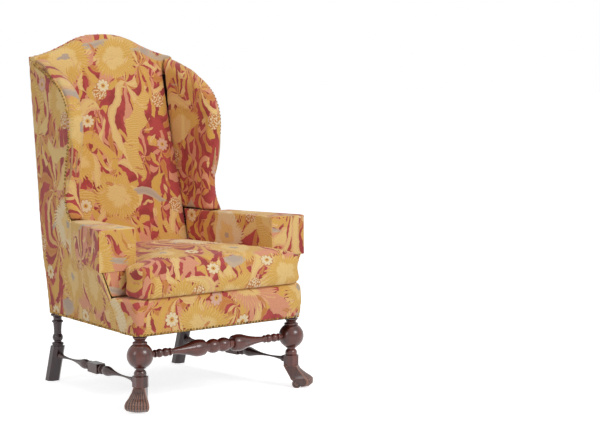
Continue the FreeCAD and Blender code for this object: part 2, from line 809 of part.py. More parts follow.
side_rails = {}
for name, side in SIDES:
    rear_end = post_front(rail_top)
    outline = [
        (rail_inner(front_rail_rear), front_rail_rear),
        (rail_outer(front_rail_rear), front_rail_rear),
        (rail_outer(rear_end), rear_end),
        (rail_inner(rear_end), rear_end),
    ]
    board = plan_board("side_rail_" + name, mirrored(outline, side), s.rail_bottom, s.rail_height)
    side_rails[side] = keep(less(board, "side_rail_%s_fitted" % name, [posts[side]]), "side_rail_" + name)

block_low = s.rail_bottom + (s.rail_height - s.corner_block_height) / 2
for name, side in SIDES:
    reach = s.corner_block_leg
    front_outline = [
        (rail_inner(front_rail_rear) - reach, front_rail_rear),
        (rail_inner(front_rail_rear), front_rail_rear),
        (rail_inner(front_rail_rear + reach), front_rail_rear + reach),
        (rail_inner(front_rail_rear + reach) - 12, front_rail_rear + reach),
        (rail_inner(front_rail_rear) - reach, front_rail_rear + 12),
    ]
    front_block = plan_board("front_corner_block_" + name, mirrored(front_outline, side),
                             block_low, s.corner_block_height)
    keep(front_block, "front_corner_block_" + name)
    notch = post_front(block_low)
    rear_outline = [
        (rail_inner(notch), notch),
        (post_inner_half, notch),
        (post_inner_half, rear_rail_front),
        (post_inner_half - reach * 0.75, rear_rail_front),
        (post_inner_half - reach * 0.75, rear_rail_front - 12),
        (rail_inner(notch - reach) - 12, notch - reach),
        (rail_inner(notch - reach), notch - reach),
    ]
    rear_block = plan_board("rear_corner_block_" + name, mirrored(rear_outline, side),
                            block_low, s.corner_block_height)
    keep(rear_block, "rear_corner_block_" + name)


# Back frame: the shaped crest rail stands on the posts, the lower back rail lies between them
def crest_outline(half, drop, low):
    """Front view of the serpentine crest: a hump in the middle and hollow shoulders."""
    corner = s.back_corner_height - drop
    turn_height = s.height - s.hump_drop - drop
    hump = arc_radius(2 * s.hump_half, s.hump_drop)
    return [
        (-half, low),
        (half, low),
        (half, corner, -s.shoulder_radius),
        (s.hump_half, turn_height, hump),
        (-s.hump_half, turn_height, -s.shoulder_radius),
        (-half, corner),
    ]


def front_board_of(label, outline, near, far):
    body = new_body(label + "_front_view")
    pad(body, "XZ_Plane", outline, far - near, -far)
    return seat(body, 0, 0, 0)


def side_board_of(label, outline, half):
    body = new_body(label + "_side_view")
    pad(body, "YZ_Plane", outline, half * 2, middle=True)
    return seat(body, 0, 0, 0)


rail_rear = s.side_cover
crest_front_view = front_board_of(
    "crest_rail", crest_outline(post_outer_half, s.crest_padding, crest_rail_bottom),
    post_front(crest_rail_bottom), back_depth(s.height))
crest_side_view = side_board_of(
    "crest_rail", raked_strip(rail_rear, s.back_rail_thick, crest_rail_bottom, s.height), s.front_leg_half)
crest_rail = keep(both(crest_front_view, crest_side_view, "crest_rail_shaped"), "crest_rail")
lower_back_rail = new_body("lower_back_rail")
pad(lower_back_rail, "YZ_Plane",
    raked_strip(rail_rear, s.back_rail_thick, s.deck_top + 32, s.deck_top + 82), post_inner_half * 2, middle=True)
keep(seat(lower_back_rail, 0, 0, 0), "lower_back_rail")


# Lines that the arms, the wings and their covers share
def arm_outer(depth):
    """Half width of the arm's outside in front of the knee."""
    run = s.knee_depth - s.arm_front
    return s.arm_outer_half + (s.knee_half - s.arm_outer_half) * (depth - s.arm_front) / run


def wing_outer(depth):
    """Half width of the wing's outside behind the knee."""
    run = s.back_corner_depth - s.knee_depth
    return s.knee_half + (s.back_corner_half - s.knee_half) * (depth - s.knee_depth) / run


def arm_inner(depth):
    run = s.arm_inner_rear_depth - s.arm_front
    return s.arm_inner_half + (s.arm_inner_rear_half - s.arm_inner_half) * (depth - s.arm_front) / run


# Outside covers of the sides, each one leaning sheet. The boards inside are fitted to them
def outer_half(depth):
    return arm_outer(depth) if float(depth) < s.knee_depth.value else wing_outer(depth)


def outer_half_at(depth, height):
    """Half width of the leaning side cover between the rail and the flare."""
    share = (height - s.seat_cover_bottom) / (s.arm_flare_height - s.seat_cover_bottom)
    return cover_half(depth) + (outer_half(depth) - cover_half(depth)) * share


def loft(sections):
    return Part.makeLoft(sections, True, True)


def upright_section(side, depth, corners):
    return polygon([(side * x, depth, z) for x, z in corners])


def side_sheet(side):
    """The outside covers' leaning sheet, from the arm's front to behind the back."""
    sections = []
    for depth in (s.arm_front, s.knee_depth, s.back_corner_depth + 20):
        rail = cover_half(depth)
        arm = outer_half(depth)
        thick = s.side_cover
        sections.append(upright_section(side, depth, [
            (rail, s.seat_cover_bottom), (arm, s.arm_flare_height), (arm, s.height),
            (arm - thick, s.height), (arm - thick, s.arm_flare_height), (rail - thick, s.seat_cover_bottom),
        ]))
    return loft(sections)


def behind_back(offset):
    """Everything behind the outside back's surface less an offset."""
    low = Size.of(200)
    high = s.height + 50
    far = s.back_corner_depth + 400
    outline = [(far, high), (back_depth(high) - offset, high, -back_radius), (back_depth(low) - offset, low),
               (far, low)]
    return prism(outline, "YZ", -s.arm_outer_half, s.arm_outer_half)


def wing_curve(inset):
    """Side view of the wing's edge from the arm up to the back's corner, moved into the wing."""
    corner_depth = post_front(s.back_corner_height)
    places = [
        (s.wing_base_depth, s.arm_top, 0),
        (s.wing_waist_depth, s.wing_waist_height, 0),
        (s.wing_bow_depth, s.wing_bow_height, 0),
        (s.wing_shoulder_depth, s.wing_shoulder_height, -42),
        (s.wing_slope_depth, s.wing_slope_height, -66),
        (corner_depth, s.back_corner_height, -80),
    ]
    points = []
    for depth, height, inward in places:
        angle = math.radians(inward)
        points.append(vector(0, depth + inset * math.cos(angle), height + inset * math.sin(angle)))
    curve = Part.BSplineCurve()
    curve.interpolate(points)
    return curve.toShape()


def face_beside(curve, points):
    """A face in the YZ plane between a curve and the corners that lead back to its start."""
    ends = [curve.Vertexes[-1].Point] + [vector(0, depth, height) for depth, height in points]
    ends.append(curve.Vertexes[0].Point)
    edges = [curve] + [Part.makeLine(start, end) for start, end in zip(ends, ends[1:])]
    return Part.Face(Part.Wire(edges))


apron_rear = s.arm_front + 13
apron_top = s.deck_top - 9
beyond = s.back_corner_depth + 20


def outside_panel(side):
    seam = wing_curve(s.wing_seam.value)
    face = face_beside(seam, [
        (beyond, s.back_corner_height - 5), (beyond, s.seat_cover_bottom),
        (apron_rear + s.panel_gap, s.seat_cover_bottom), (apron_rear + s.panel_gap, apron_top + s.panel_gap),
        (s.arm_front, apron_top + s.panel_gap), (s.arm_front, s.arm_top),
    ])
    side_view = face.extrude(vector(side * (s.arm_outer_half + 10), 0, 0))
    return side_sheet(side).common(side_view).cut(behind_back(s.back_cover + s.panel_gap))


panels = {}
side_covers = {}
for name, side in SIDES:
    panels[side] = outside_panel(side)
    side_covers[side] = keep(soft("outside_panel_" + name, panels[side]), "outside_panel_" + name)

# Wing and arm frames
wing_turn = math.degrees(math.atan2((s.knee_half - s.back_corner_half).value,
                                    (s.back_corner_depth - s.knee_depth).value))


def wing_board(label, side, outline):
    """A board in the plane of a wing, behind its outside cover. Its outline is a side view."""
    body = new_body(label)
    low = -s.side_cover - s.wing_board
    start = low if side > 0 else s.side_cover
    pad(body, "YZ_Plane", shifted(outline, s.knee_depth), s.wing_board, start)
    return seat(body, side * s.knee_half, s.knee_depth, 0, FreeCAD.Rotation(UP, side * wing_turn))


board_inset = s.wing_seam * 0.6
post_face_front = s.wing_waist_depth + board_inset
wing_joint_height = s.wing_shoulder_height - board_inset
wing_joint_front = s.wing_shoulder_depth + board_inset * 0.75
post_width = s.wing_post_width
wing_posts = {}
arm_parts = {}
for name, side in SIDES:
    bow_chord = wing_joint_height - s.wing_waist_height
    outline = [
        (post_face_front, rail_top),
        (post_face_front + post_width, rail_top),
        (post_face_front + post_width, wing_joint_height),
        (wing_joint_front, wing_joint_height, arc_radius(bow_chord, s.wing_post_bow)),
        (post_face_front, s.wing_waist_height),
    ]
    board = wing_board("wing_post_%s_board" % name, side, outline)
    wing_post = keep(less(board, "wing_post_%s_fitted" % name, [side_rails[side], side_covers[side]]), "wing_post_" + name)
    rear_end = post_front(s.back_corner_height)
    slope = arc_radius(rear_end - wing_joint_front, s.wing_rail_bow)
    top_outline = [
        (wing_joint_front, wing_joint_height),
        (post_face_front + post_width, wing_joint_height),
        (rear_end, s.back_corner_height - s.wing_rail_height - board_inset),
        (rear_end, s.back_corner_height - board_inset, slope),
    ]
    board = wing_board("wing_rail_%s_board" % name, side, top_outline)
    wing_rail = keep(less(board, "wing_rail_%s_fitted" % name, [posts[side]]), "wing_rail_" + name)

    # The arm's post leans out from the rail, and the arm's top board joins it to the wing
    near = s.arm_front + s.front_plate
    far = near + s.arm_post_thick
    shoulder = arm_outer(far) - s.side_cover
    arm_rail_low = s.arm_top - s.arm_padding - s.arm_rail_thick
    lean = [
        (rail_inner(far), rail_top),
        (rail_outer(far), rail_top),
        (shoulder, s.arm_flare_height),
        (shoulder, arm_rail_low),
        (shoulder - s.arm_post_width, arm_rail_low),
        (shoulder - s.arm_post_width, s.arm_flare_height),
        (rail_inner(far), s.deck_top + s.tuck_rail_height + 12),
    ]
    arm_post = keep(front_board_of("arm_post_" + name, mirrored(lean, side), near, far), "arm_post_" + name)
    outline = [
        (arm_inner(near) + s.inner_padding, near),
        (arm_outer(near) - s.side_cover, near),
        (s.knee_half - s.side_cover, s.knee_depth),
        (wing_outer(post_face_front + 2) - s.side_cover, post_face_front + 2),
        (arm_inner(post_face_front + 2) + s.inner_padding, post_face_front + 2),
    ]
    board = plan_board("arm_rail_" + name, mirrored(outline, side), arm_rail_low, s.arm_rail_thick)
    arm_rail = keep(less(board, "arm_rail_%s_fitted" % name, [wing_post]), "arm_rail_" + name)
    rear_end = post_front(s.deck_top + s.tuck_rail_height)
    outline = [
        (arm_inner(far) + 6, far),
        (arm_inner(far) + 6 + s.tuck_rail_thick, far),
        (arm_inner(rear_end) + 6 + s.tuck_rail_thick, rear_end),
        (arm_inner(rear_end) + 6, rear_end),
    ]
    board = plan_board("tuck_rail_" + name, mirrored(outline, side), s.deck_top + 8, s.tuck_rail_height)
    tuck_rail = keep(less(board, "tuck_rail_%s_fitted" % name, [posts[side]]), "tuck_rail_" + name)
    arm_parts[side] = [arm_post, arm_rail, tuck_rail]
    wing_posts[side] = [wing_post, wing_rail]


# Padding round those frames
def wing_form(side):
    face = face_beside(wing_curve(0), [(post_front(s.arm_top), s.arm_top)])
    face.translate(vector(0, -s.knee_depth, 0))
    form = face.extrude(vector(-side * s.wing_thick, 0, 0))
    edges = [edge for edge in form.Edges if "BSpline" in edge.Curve.TypeId and edge.Length > 400]
    form = form.makeFillet(s.wing_roll.value, edges)
    form.rotate(FreeCAD.Vector(), UP, side * wing_turn)
    form.translate(vector(side * s.knee_half, s.knee_depth, 0))
    return form


def arm_form(side):
    sections = []
    for depth in (s.arm_front + s.front_plate, s.knee_depth, post_front(s.deck_top) - 30):
        inner = arm_inner(depth)
        outer = outer_half(depth) - s.side_cover
        under = s.arm_top - s.arm_padding
        sections.append(upright_section(side, depth, [
            (inner, s.deck_top), (inner, s.arm_top), (outer, s.arm_top), (outer, under),
            (inner + s.inner_padding, under), (inner + s.inner_padding, s.deck_top),
        ]))
    outer = s.arm_outer_half - s.side_cover
    foot = outer_half_at(s.arm_front, s.deck_top) - s.side_cover
    inner = arm_inner(s.arm_front)
    plate = mirrored([(inner, s.deck_top), (foot, s.deck_top), (outer, s.arm_flare_height),
                      (outer, s.arm_top), (inner, s.arm_top)], side)
    front = prism(plate, "XZ", s.arm_front, s.arm_front + s.front_plate)
    return loft(sections).fuse(front)


def pieces_in_place(things):
    """Copies of finished pieces, drawn in chair coordinates."""
    doc.recompute()
    shapes = []
    for thing in things:
        shape = thing.Shape.copy()
        shape.translate(FreeCAD.Vector(0, -leg_line, 0))
        shapes.append(shape)
    return shapes


for name, side in SIDES:
    wing_frame = pieces_in_place(wing_posts[side])
    arm_frame = pieces_in_place(arm_parts[side])
    wing = wing_form(side).cut(wing_frame + [panels[side]])
    keep(soft("wing_pad_" + name, wing), "wing_pad_" + name)
    arm = arm_form(side).cut(wing_frame + arm_frame + [panels[side]])
    keep(soft("arm_pad_" + name, arm), "arm_pad_" + name)


def inside_depth(height):
    """Depth of the inside back's seam at a height."""
    run = s.back_corner_height - s.deck_top
    return s.seat_line_depth + (s.inside_top_depth - s.seat_line_depth) * (height - s.deck_top) / run


def inside_section(height, fullness):
    front = inside_depth(height)
    rear = back_depth(height) - s.side_cover - s.back_rail_thick
    front_half = arm_inner(front) - s.panel_gap
    rear_half = arm_inner(rear) - s.panel_gap
    left = vector(-front_half, front, height)
    right = vector(front_half, front, height)
    crown = vector(0, front - s.inside_crown * fullness, height)
    corners = [right, vector(rear_half, rear, height), vector(-rear_half, rear, height), left]
    edges = [Part.Arc(left, crown, right).toShape()]
    for start, end in zip(corners, corners[1:]):
        edges.append(Part.makeLine(start, end))
    return Part.Wire(edges)


cushion_top = s.deck_top + s.cushion_border
inside_slab = loft([
    inside_section(s.deck_top, 0.3), inside_section(cushion_top, 0.5),
    inside_section(s.wing_bow_height - 120, 1), inside_section(s.height, 0.9),
])
crest_view = prism(crest_outline(s.back_corner_half, 0, s.deck_top), "XZ", 0, beyond)
crest_strip = prism(crest_outline(s.back_corner_half, 0, crest_rail_bottom), "XZ",
                    inside_depth(s.back_corner_height), beyond)
back_frame = pieces_in_place([crest_rail, lower_back_rail, posts[-1], posts[1]])
inside_back = inside_slab.common(crest_view).fuse(crest_strip).cut(behind_back(s.back_cover + s.panel_gap))
inside_back = inside_back.cut(back_frame + [panels[-1], panels[1]])
keep(soft("inside_back_pad", inside_back.Solids[0]), "inside_back_pad")

outside_view = prism(crest_outline(s.back_corner_half - s.panel_gap, 0, s.seat_cover_bottom), "XZ", 0, beyond)
outside_sheet = prism(raked_strip(0, s.back_cover, s.seat_cover_bottom, s.height), "YZ",
                      -s.back_corner_half, s.back_corner_half)
keep(soft("outside_back_panel", outside_sheet.common(outside_view)), "outside_back_panel")

# Webbing on the back, tacked behind the inside back's padding
back_web_rear = s.side_cover + s.back_rail_thick - s.web_thick
web_sheet = prism(raked_strip(back_web_rear, s.web_thick, s.deck_top, s.height), "YZ",
                  -post_inner_half, post_inner_half)
strips = []
lowest = s.deck_top + 100
back_web_count = int((crest_rail_bottom - lowest).value // (1.8 * s.web_pitch.value))
for number in range(back_web_count):
    low = lowest + 1.8 * s.web_pitch * number
    band = prism(rectangle(-post_inner_half, post_inner_half, low, low + s.web_width), "XZ", 0, beyond)
    strips.append(web_sheet.common(band))
keep(soft("back_webbing", Part.makeCompound(strips)), "back_webbing")


def rounded(corners, height):
    """A level outline whose corners (x, y, radius) are rounded."""
    points = [vector(x, y, height) for x, y, radius in corners]
    edges = []
    ends = []
    for index, (x, y, radius) in enumerate(corners):
        point = points[index]
        before = (points[index - 1] - point).normalize()
        after = (points[(index + 1) % len(points)] - point).normalize()
        half_angle = before.getAngle(after) / 2
        reach = float(radius) / math.tan(half_angle)
        middle = (before + after).normalize()
        apex = point + middle * (float(radius) / math.sin(half_angle) - float(radius))
        ends.append((point + before * reach, apex, point + after * reach))
    for index, (start, apex, end) in enumerate(ends):
        edges.append(Part.Arc(start, apex, end).toShape())
        edges.append(Part.makeLine(end, ends[(index + 1) % len(ends)][0]))
    return Part.Wire(edges)


# Seat cover: the padded front that wraps the corners back to the arms
def apron_section(height, swell, half):
    rear_half = outer_half_at(apron_rear, height) + s.apron_proud
    front = -(s.cover_front + swell)
    round_front = s.cover_corner_radius
    return rounded([
        (rear_half, apron_rear, 1), (half, front, round_front), (-half, front, round_front),
        (-rear_half, apron_rear, 1),
    ], height)


corner_half = s.cover_front_half
apron_levels = [
    (s.seat_cover_bottom, Size.of(0), corner_half - 2),
    (s.seat_cover_bottom + 20, s.cover_swell * 0.7, corner_half + 3),
    (s.seat_cover_bottom + 60, s.cover_swell, corner_half + 5),
    (apron_top - 4, s.cover_swell * 0.4, corner_half + 1),
    (apron_top + 5, -s.cover_swell * 0.2, corner_half - 4),
    (s.deck_top, -s.cover_swell, corner_half - 14),
]
apron = loft([apron_section(*level) for level in apron_levels])
rail_space = prism([
    (-front_rail_half, front_rail_front), (front_rail_half, front_rail_front),
    (front_rail_half, front_rail_rear), (rail_outer(apron_rear + 1), apron_rear + 1),
    (-rail_outer(apron_rear + 1), apron_rear + 1), (-front_rail_half, front_rail_rear),
], "XY", s.seat_cover_bottom - 1, rail_top)


def deck_half(depth):
    return rail_inner(depth) - 3


def deck_outline(rear):
    return [
        (-deck_half(front_rail_rear), front_rail_rear), (deck_half(front_rail_rear), front_rail_rear),
        (deck_half(rear), rear), (-deck_half(rear), rear),
    ]


deck_space = prism(deck_outline(apron_rear + 1), "XY", rail_top - 1, s.deck_top + 1)
apron = apron.cut([rail_space, deck_space, panels[-1], panels[1]])
apron = apron.cut(pieces_in_place([arm_parts[-1][0], arm_parts[1][0]]))
keep(soft("seat_apron", apron), "seat_apron")
deck_bottom = s.deck_top - s.deck_thick
deck = prism(deck_outline(post_front(deck_bottom) - 1), "XY", deck_bottom, s.deck_top)
keep(soft("seat_platform", deck), "seat_platform")


# Webbing and springs under the deck, and the dust cover that closes the seat from below
def webbing_places():
    across = [s.web_pitch * step for step in (-2, -1, 0, 1, 2)]
    middle = (front_rail_rear + rear_rail_front) / 2
    return across, [middle + s.web_pitch * step for step in (-2, -1, 0, 1, 2)]


across_places, depth_places = webbing_places()
web_half = s.web_width / 2
web_top = s.rail_bottom
web_middle = web_top - s.web_thick
bands = []
for x in across_places:
    outline = rectangle(x - web_half, x + web_half, front_rail_front + 4, rear_rail_rear - 4)
    bands.append(prism(outline, "XY", web_middle, web_top))
for depth in depth_places:
    reach = rail_outer(depth + web_half) - 4
    outline = rectangle(-reach, reach, depth - web_half, depth + web_half)
    bands.append(prism(outline, "XY", web_middle - s.web_thick, web_middle))
keep(soft("seat_webbing", Part.makeCompound(bands)), "seat_webbing")

SPRING_STEPS = 12


def coil_spring(x, y):
    """An hourglass coil of square-drawn wire between the webbing and the deck."""
    wire = s.spring_wire.value
    low = s.rail_bottom.value + wire
    rise = deck_bottom.value - wire - low
    steps = int(s.spring_turns.value * SPRING_STEPS)
    sections = []
    for step in range(steps + 1):
        share = step / steps
        angle = 2 * math.pi * step / SPRING_STEPS
        waist = (2 * share - 1) ** 2
        radius = s.spring_waist.value + (s.spring_radius - s.spring_waist).value * waist
        height = low + rise * share
        out = vector(math.cos(angle), math.sin(angle), 0)
        centre = vector(x, y, height) + out * radius
        corners = []
        for outward, upward in ((-1, -1), (1, -1), (1, 1), (-1, 1)):
            corner = centre + out * (outward * wire) + UP * (upward * wire)
            corners.append((corner.x, corner.y, corner.z))
        sections.append(polygon(corners))
    return loft(sections)


springs = [coil_spring(x, depth) for x in across_places[::2] for depth in depth_places[::2]]
spring_pitch = (deck_bottom - s.rail_bottom).value / s.spring_turns.value
print("gap between a spring's turns: %.1f mm" % (spring_pitch - 2 * s.spring_wire.value))
keep(soft("seat_springs", Part.makeCompound(springs)), "seat_springs")

dust_low = s.seat_cover_bottom
dust_outline = [
    (-front_rail_half + 4, front_rail_front + 4), (front_rail_half - 4, front_rail_front + 4),
    (front_rail_half - 4, front_rail_rear), (rail_outer(rear_rail_rear) - 4, rear_rail_rear),
    (-rail_outer(rear_rail_rear) + 4, rear_rail_rear), (-front_rail_half + 4, front_rail_rear),
]
dust_cover = prism(dust_outline, "XY", dust_low, dust_low + s.dust_cover_thick)
leg_necks = []
for name, side in SIDES:
    neck = s.collar_radius.value * 0.6 + 1
    for centre in (vector(side * s.front_leg_half, 0, dust_low - 5),
                   vector(side * s.rear_leg_half, s.rear_leg_depth, dust_low - 5)):
        leg_necks.append(Part.makeCylinder(neck + 2, 20, centre))
keep(soft("dust_cover", dust_cover.cut(leg_necks)), "dust_cover")


# Arm caps: lined covers that hang over the arms and lift off
cap_gap = s.cap_gap
cap_out = s.cap_gap + s.cap_thick
cap_bottom = s.arm_top - s.cap_drop


def arm_cap(side):
    under = s.arm_top + s.rest_gap
    top = under + s.cap_thick
    near = s.arm_front - cap_out
    flap_bottom = cap_bottom + 5

    def tube(rear, corners_at):
        return loft([upright_section(side, depth, corners_at(depth)) for depth in (near, rear)])

    def plate(depth):
        inner = arm_inner(depth) - cap_out
        outer = arm_outer(depth) + cap_out
        return [(inner, under), (outer, under), (outer, top), (inner, top)]

    def outer_flap(depth):
        outer = arm_outer(depth)
        return [(outer + cap_gap, flap_bottom), (outer + cap_out, flap_bottom),
                (outer + cap_out, top), (outer + cap_gap, top)]

    def inner_flap(depth):
        inner = arm_inner(depth)
        return [(inner - cap_out, flap_bottom), (inner - cap_gap, flap_bottom),
                (inner - cap_gap, top), (inner - cap_out, top)]

    front = prism(mirrored([
        (arm_inner(near) - cap_out, cap_bottom), (arm_outer(near) + cap_out, cap_bottom),
        (arm_outer(near) + cap_out, top), (arm_inner(near) - cap_out, top),
    ], side), "XZ", near, s.arm_front - cap_gap)
    room = s.cushion_gap + 1
    rake_space = prism([
        (inside_depth(cap_bottom) - room, cap_bottom), (inside_depth(top) - room, top),
        (inside_depth(top) - room, top + 5), (beyond, top + 5), (beyond, cap_bottom),
    ], "YZ", -s.arm_outer_half, s.arm_outer_half)
    inner = tube(inside_depth(top), inner_flap).cut(rake_space)
    return tube(s.cap_rear, plate).fuse([tube(s.cap_rear, outer_flap), inner, front]).removeSplitter()


for name, side in SIDES:
    keep(soft("arm_cap_" + name, arm_cap(side)), "arm_cap_" + name)


# Loose cushion: T-shaped, with a crown above and below its border and sides drawn in
def cushion_section(height, scale):
    def neck(depth):
        return arm_inner(depth) - cap_out - s.cushion_gap

    middle = s.cushion_middle
    rear = inside_depth(height) - s.inside_crown * 0.5 - s.cushion_gap
    front = -s.cushion_front
    ear = s.cushion_half
    back = s.ear_back
    front_round = s.cushion_corner
    corners = [
        (ear, front, front_round), (ear, back, 12), (neck(back), back, 3), (neck(rear), rear, 20),
    ]
    corners = corners + [(-x, y, radius) for x, y, radius in reversed(corners)]
    scaled = []
    for x, y, radius in corners:
        beside_arm = y is back and scale > 0.8
        scaled.append((x * scale, y if beside_arm else middle + (y - middle) * scale, radius * scale))
    return rounded(scaled, height)


border = s.cushion_border
draw_in = 1 - s.cushion_waist.value / s.cushion_half.value
cushion_levels = [
    (0, 0.955), (0.06, 0.99), (0.14, 1), (0.5, draw_in), (0.86, 1), (0.95, 0.98), (1, 0.93),
]
sections = [cushion_section(s.deck_top + s.rest_gap + border * share, scale) for share, scale in cushion_levels]
for share, scale in ((0.3, 0.81), (0.52, 0.68), (0.83, 0.42), (1, 0.15)):
    sections.append(cushion_section(s.deck_top + border + s.cushion_crown * share, scale))
keep(soft("seat_cushion", loft(sections)), "seat_cushion")


# Brass nails: domed heads in close rows
def nail(point, outward):
    """An eight-sided head, a little sunk into the cloth."""
    sides = 8
    sunk = 0.8
    rings = []
    for lift, share in ((-sunk, 1), (s.nail_rise.value * 0.4, 0.92), (s.nail_rise.value, 0.45)):
        ring = [(s.nail_radius.value * share * math.cos(2 * math.pi * k / sides),
                 s.nail_radius.value * share * math.sin(2 * math.pi * k / sides), lift) for k in range(sides)]
        rings.append(polygon(ring))
    head = loft(rings)
    head.Placement = FreeCAD.Placement(point, FreeCAD.Rotation(FreeCAD.Vector(0, 0, 1), outward))
    return head


def row_of_points(edge):
    """Evenly spaced points along an edge, half a space from its ends, and its direction there."""
    count = max(int(edge.Length // s.nail_pitch.value), 1)
    for number in range(count):
        parameter = edge.getParameterByLength(edge.Length * (number + 0.5) / count)
        yield edge.valueAt(parameter), edge.tangentAt(parameter)


nail_height = s.seat_cover_bottom + s.nail_radius + 3
nail_share = (nail_height - apron_levels[0][0]) / (apron_levels[1][0] - apron_levels[0][0])
apron_swell = apron_levels[1][1] * nail_share
apron_half = apron_levels[0][2] + (apron_levels[1][2] - apron_levels[0][2]) * nail_share
nail_line = apron_section(nail_height, apron_swell, apron_half)
apron_nails = []
for edge in nail_line.Edges:
    if max(vertex.Point.y for vertex in edge.Vertexes) > apron_rear.value - 2 and edge.Length < 3:
        continue
    if min(vertex.Point.y for vertex in edge.Vertexes) > apron_rear.value - 3:
        continue
    for point, tangent in row_of_points(edge):
        outward = tangent.cross(UP)
        middle = vector(0, s.cushion_middle, nail_height)
        if outward.dot(point - middle) < 0:
            outward = outward * -1
        apron_nails.append(nail(point, outward))
keep(soft("apron_nails", Part.makeCompound(apron_nails)), "apron_nails")

for name, side in SIDES:
    rear = back_depth(nail_height) - s.back_cover - 8
    front = apron_rear + 8
    start = vector(side * outer_half_at(front, nail_height), front, nail_height)
    end = vector(side * outer_half_at(rear, nail_height), rear, nail_height)
    heads = []
    lean = float((outer_half(front) - cover_half(front)) / (s.arm_flare_height - s.seat_cover_bottom))
    for point, tangent in row_of_points(Part.makeLine(start, end)):
        lean_here = lean * (1 - (point.y - start.y) / (end.y - start.y))
        out = vector(side, 0, -lean_here)
        heads.append(nail(point, out.normalize()))
    seam = wing_curve(s.wing_seam.value + s.nail_radius.value)
    for point, tangent in row_of_points(seam):
        depth = point.y
        normal = FreeCAD.Rotation(UP, side * wing_turn).multVec(vector(side, 0, 0))
        heads.append(nail(vector(side * wing_outer(depth), depth, point.z), normal))
    keep(soft("side_nails_" + name, Part.makeCompound(heads)), "side_nails_" + name)

doc.recompute()
for thing in doc.Objects:
    if "Invalid" in thing.State or "Error" in thing.State:
        raise RuntimeError("%s failed" % thing.Label)
for piece in pieces:
    if piece.Shape.isNull() or not piece.Shape.isValid():
        raise RuntimeError("%s has no valid shape" % piece.Label)
    print(piece.Label, round(piece.Shape.Volume / 1000), "cm3,", len(piece.Shape.Solids), "solid(s)")
os.makedirs("parts", exist_ok=True)
for piece in pieces:
    piece.Shape.exportStep("parts/%s.step" % piece.Label)
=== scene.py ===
# %% [markdown]
# A wingback armchair, dressed in cloth and polish.
# The solid model of the chair is loaded first. It says where every piece is, so nothing here is placed by
# eye: hard pieces only get a finish, and every soft piece is modelled again round its solid.

# %% Load the frame
import math

import bmesh
import bpy
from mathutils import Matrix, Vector
from mathutils.bvhtree import BVHTree


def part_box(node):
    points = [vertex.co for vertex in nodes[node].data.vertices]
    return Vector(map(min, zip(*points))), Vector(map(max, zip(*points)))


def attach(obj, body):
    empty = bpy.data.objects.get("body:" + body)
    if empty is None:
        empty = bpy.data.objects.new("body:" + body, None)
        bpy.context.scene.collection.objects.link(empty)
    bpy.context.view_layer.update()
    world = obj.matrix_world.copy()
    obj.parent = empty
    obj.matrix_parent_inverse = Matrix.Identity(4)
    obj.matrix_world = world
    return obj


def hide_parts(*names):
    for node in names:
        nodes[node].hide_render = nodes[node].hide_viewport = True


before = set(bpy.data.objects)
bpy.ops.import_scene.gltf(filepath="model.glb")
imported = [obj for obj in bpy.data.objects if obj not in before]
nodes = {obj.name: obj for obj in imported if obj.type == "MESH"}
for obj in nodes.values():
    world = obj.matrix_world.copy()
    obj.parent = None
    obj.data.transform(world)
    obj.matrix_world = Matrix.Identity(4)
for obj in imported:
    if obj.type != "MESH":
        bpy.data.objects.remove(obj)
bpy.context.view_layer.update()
scene = bpy.context.scene
print("frame loaded:", len(nodes), "pieces")

# %% [markdown]
# Materials are trees of nodes. A small helper keeps their code short: it makes a node, fills its inputs
# with numbers or with the outputs of other nodes, and hands back what comes next.


# %% A helper for node trees
class Graph:
    """Writes a node tree in short lines."""

    def __init__(self, tree):
        self.tree = tree

    def node(self, kind, **fields):
        made = self.tree.nodes.new(kind)
        for field, value in fields.items():
            setattr(made, field, value)
        return made

    def put(self, socket, value):
        if isinstance(value, bpy.types.NodeSocket):
            self.tree.links.new(value, socket)
        else:
            socket.default_value = value

    def calc(self, operation, *values):
        made = self.node("ShaderNodeMath", operation=operation)
        for socket, value in zip(made.inputs, values):
            self.put(socket, value)
        return made.outputs[0]

    def between(self, value, low, high):
        """0 below low, 1 above high and a smooth step between them."""
        made = self.node("ShaderNodeMapRange", interpolation_type="SMOOTHSTEP")
        for socket, number in zip(made.inputs, (value, low, high)):
            self.put(socket, number)
        return made.outputs[0]

    def mix(self, share, first, second):
        made = self.node("ShaderNodeMix", data_type="RGBA")
        for number, value in ((0, share), (6, first), (7, second)):
            self.put(made.inputs[number], value)
        return made.outputs[2]

    def vector(self, operation, first, second=None, scale=None):
        made = self.node("ShaderNodeVectorMath", operation=operation)
        self.put(made.inputs[0], first)
        if second is not None:
            self.put(made.inputs[1], second)
        if scale is not None:
            self.put(made.inputs["Scale"], scale)
        return made.outputs["Value" if operation in ("LENGTH", "DOT_PRODUCT") else "Vector"]

    def noise(self, place, scale, detail=2, flat=True):
        made = self.node("ShaderNodeTexNoise", noise_dimensions="2D" if flat else "3D")
        self.put(made.inputs["Vector"], place)
        self.put(made.inputs["Scale"], scale)
        made.inputs["Detail"].default_value = detail
        return made

    def split(self, value):
        made = self.node("ShaderNodeSeparateXYZ")
        self.put(made.inputs[0], value)
        return made.outputs


def tint(text):
    """A colour written as it looks on the screen, such as c04a40, for Blender's linear light."""
    parts = [int(text[place:place + 2], 16) / 255 for place in (0, 2, 4)]
    return tuple(part / 12.92 if part < 0.04 else ((part + 0.055) / 1.055) ** 2.4 for part in parts) + (1,)


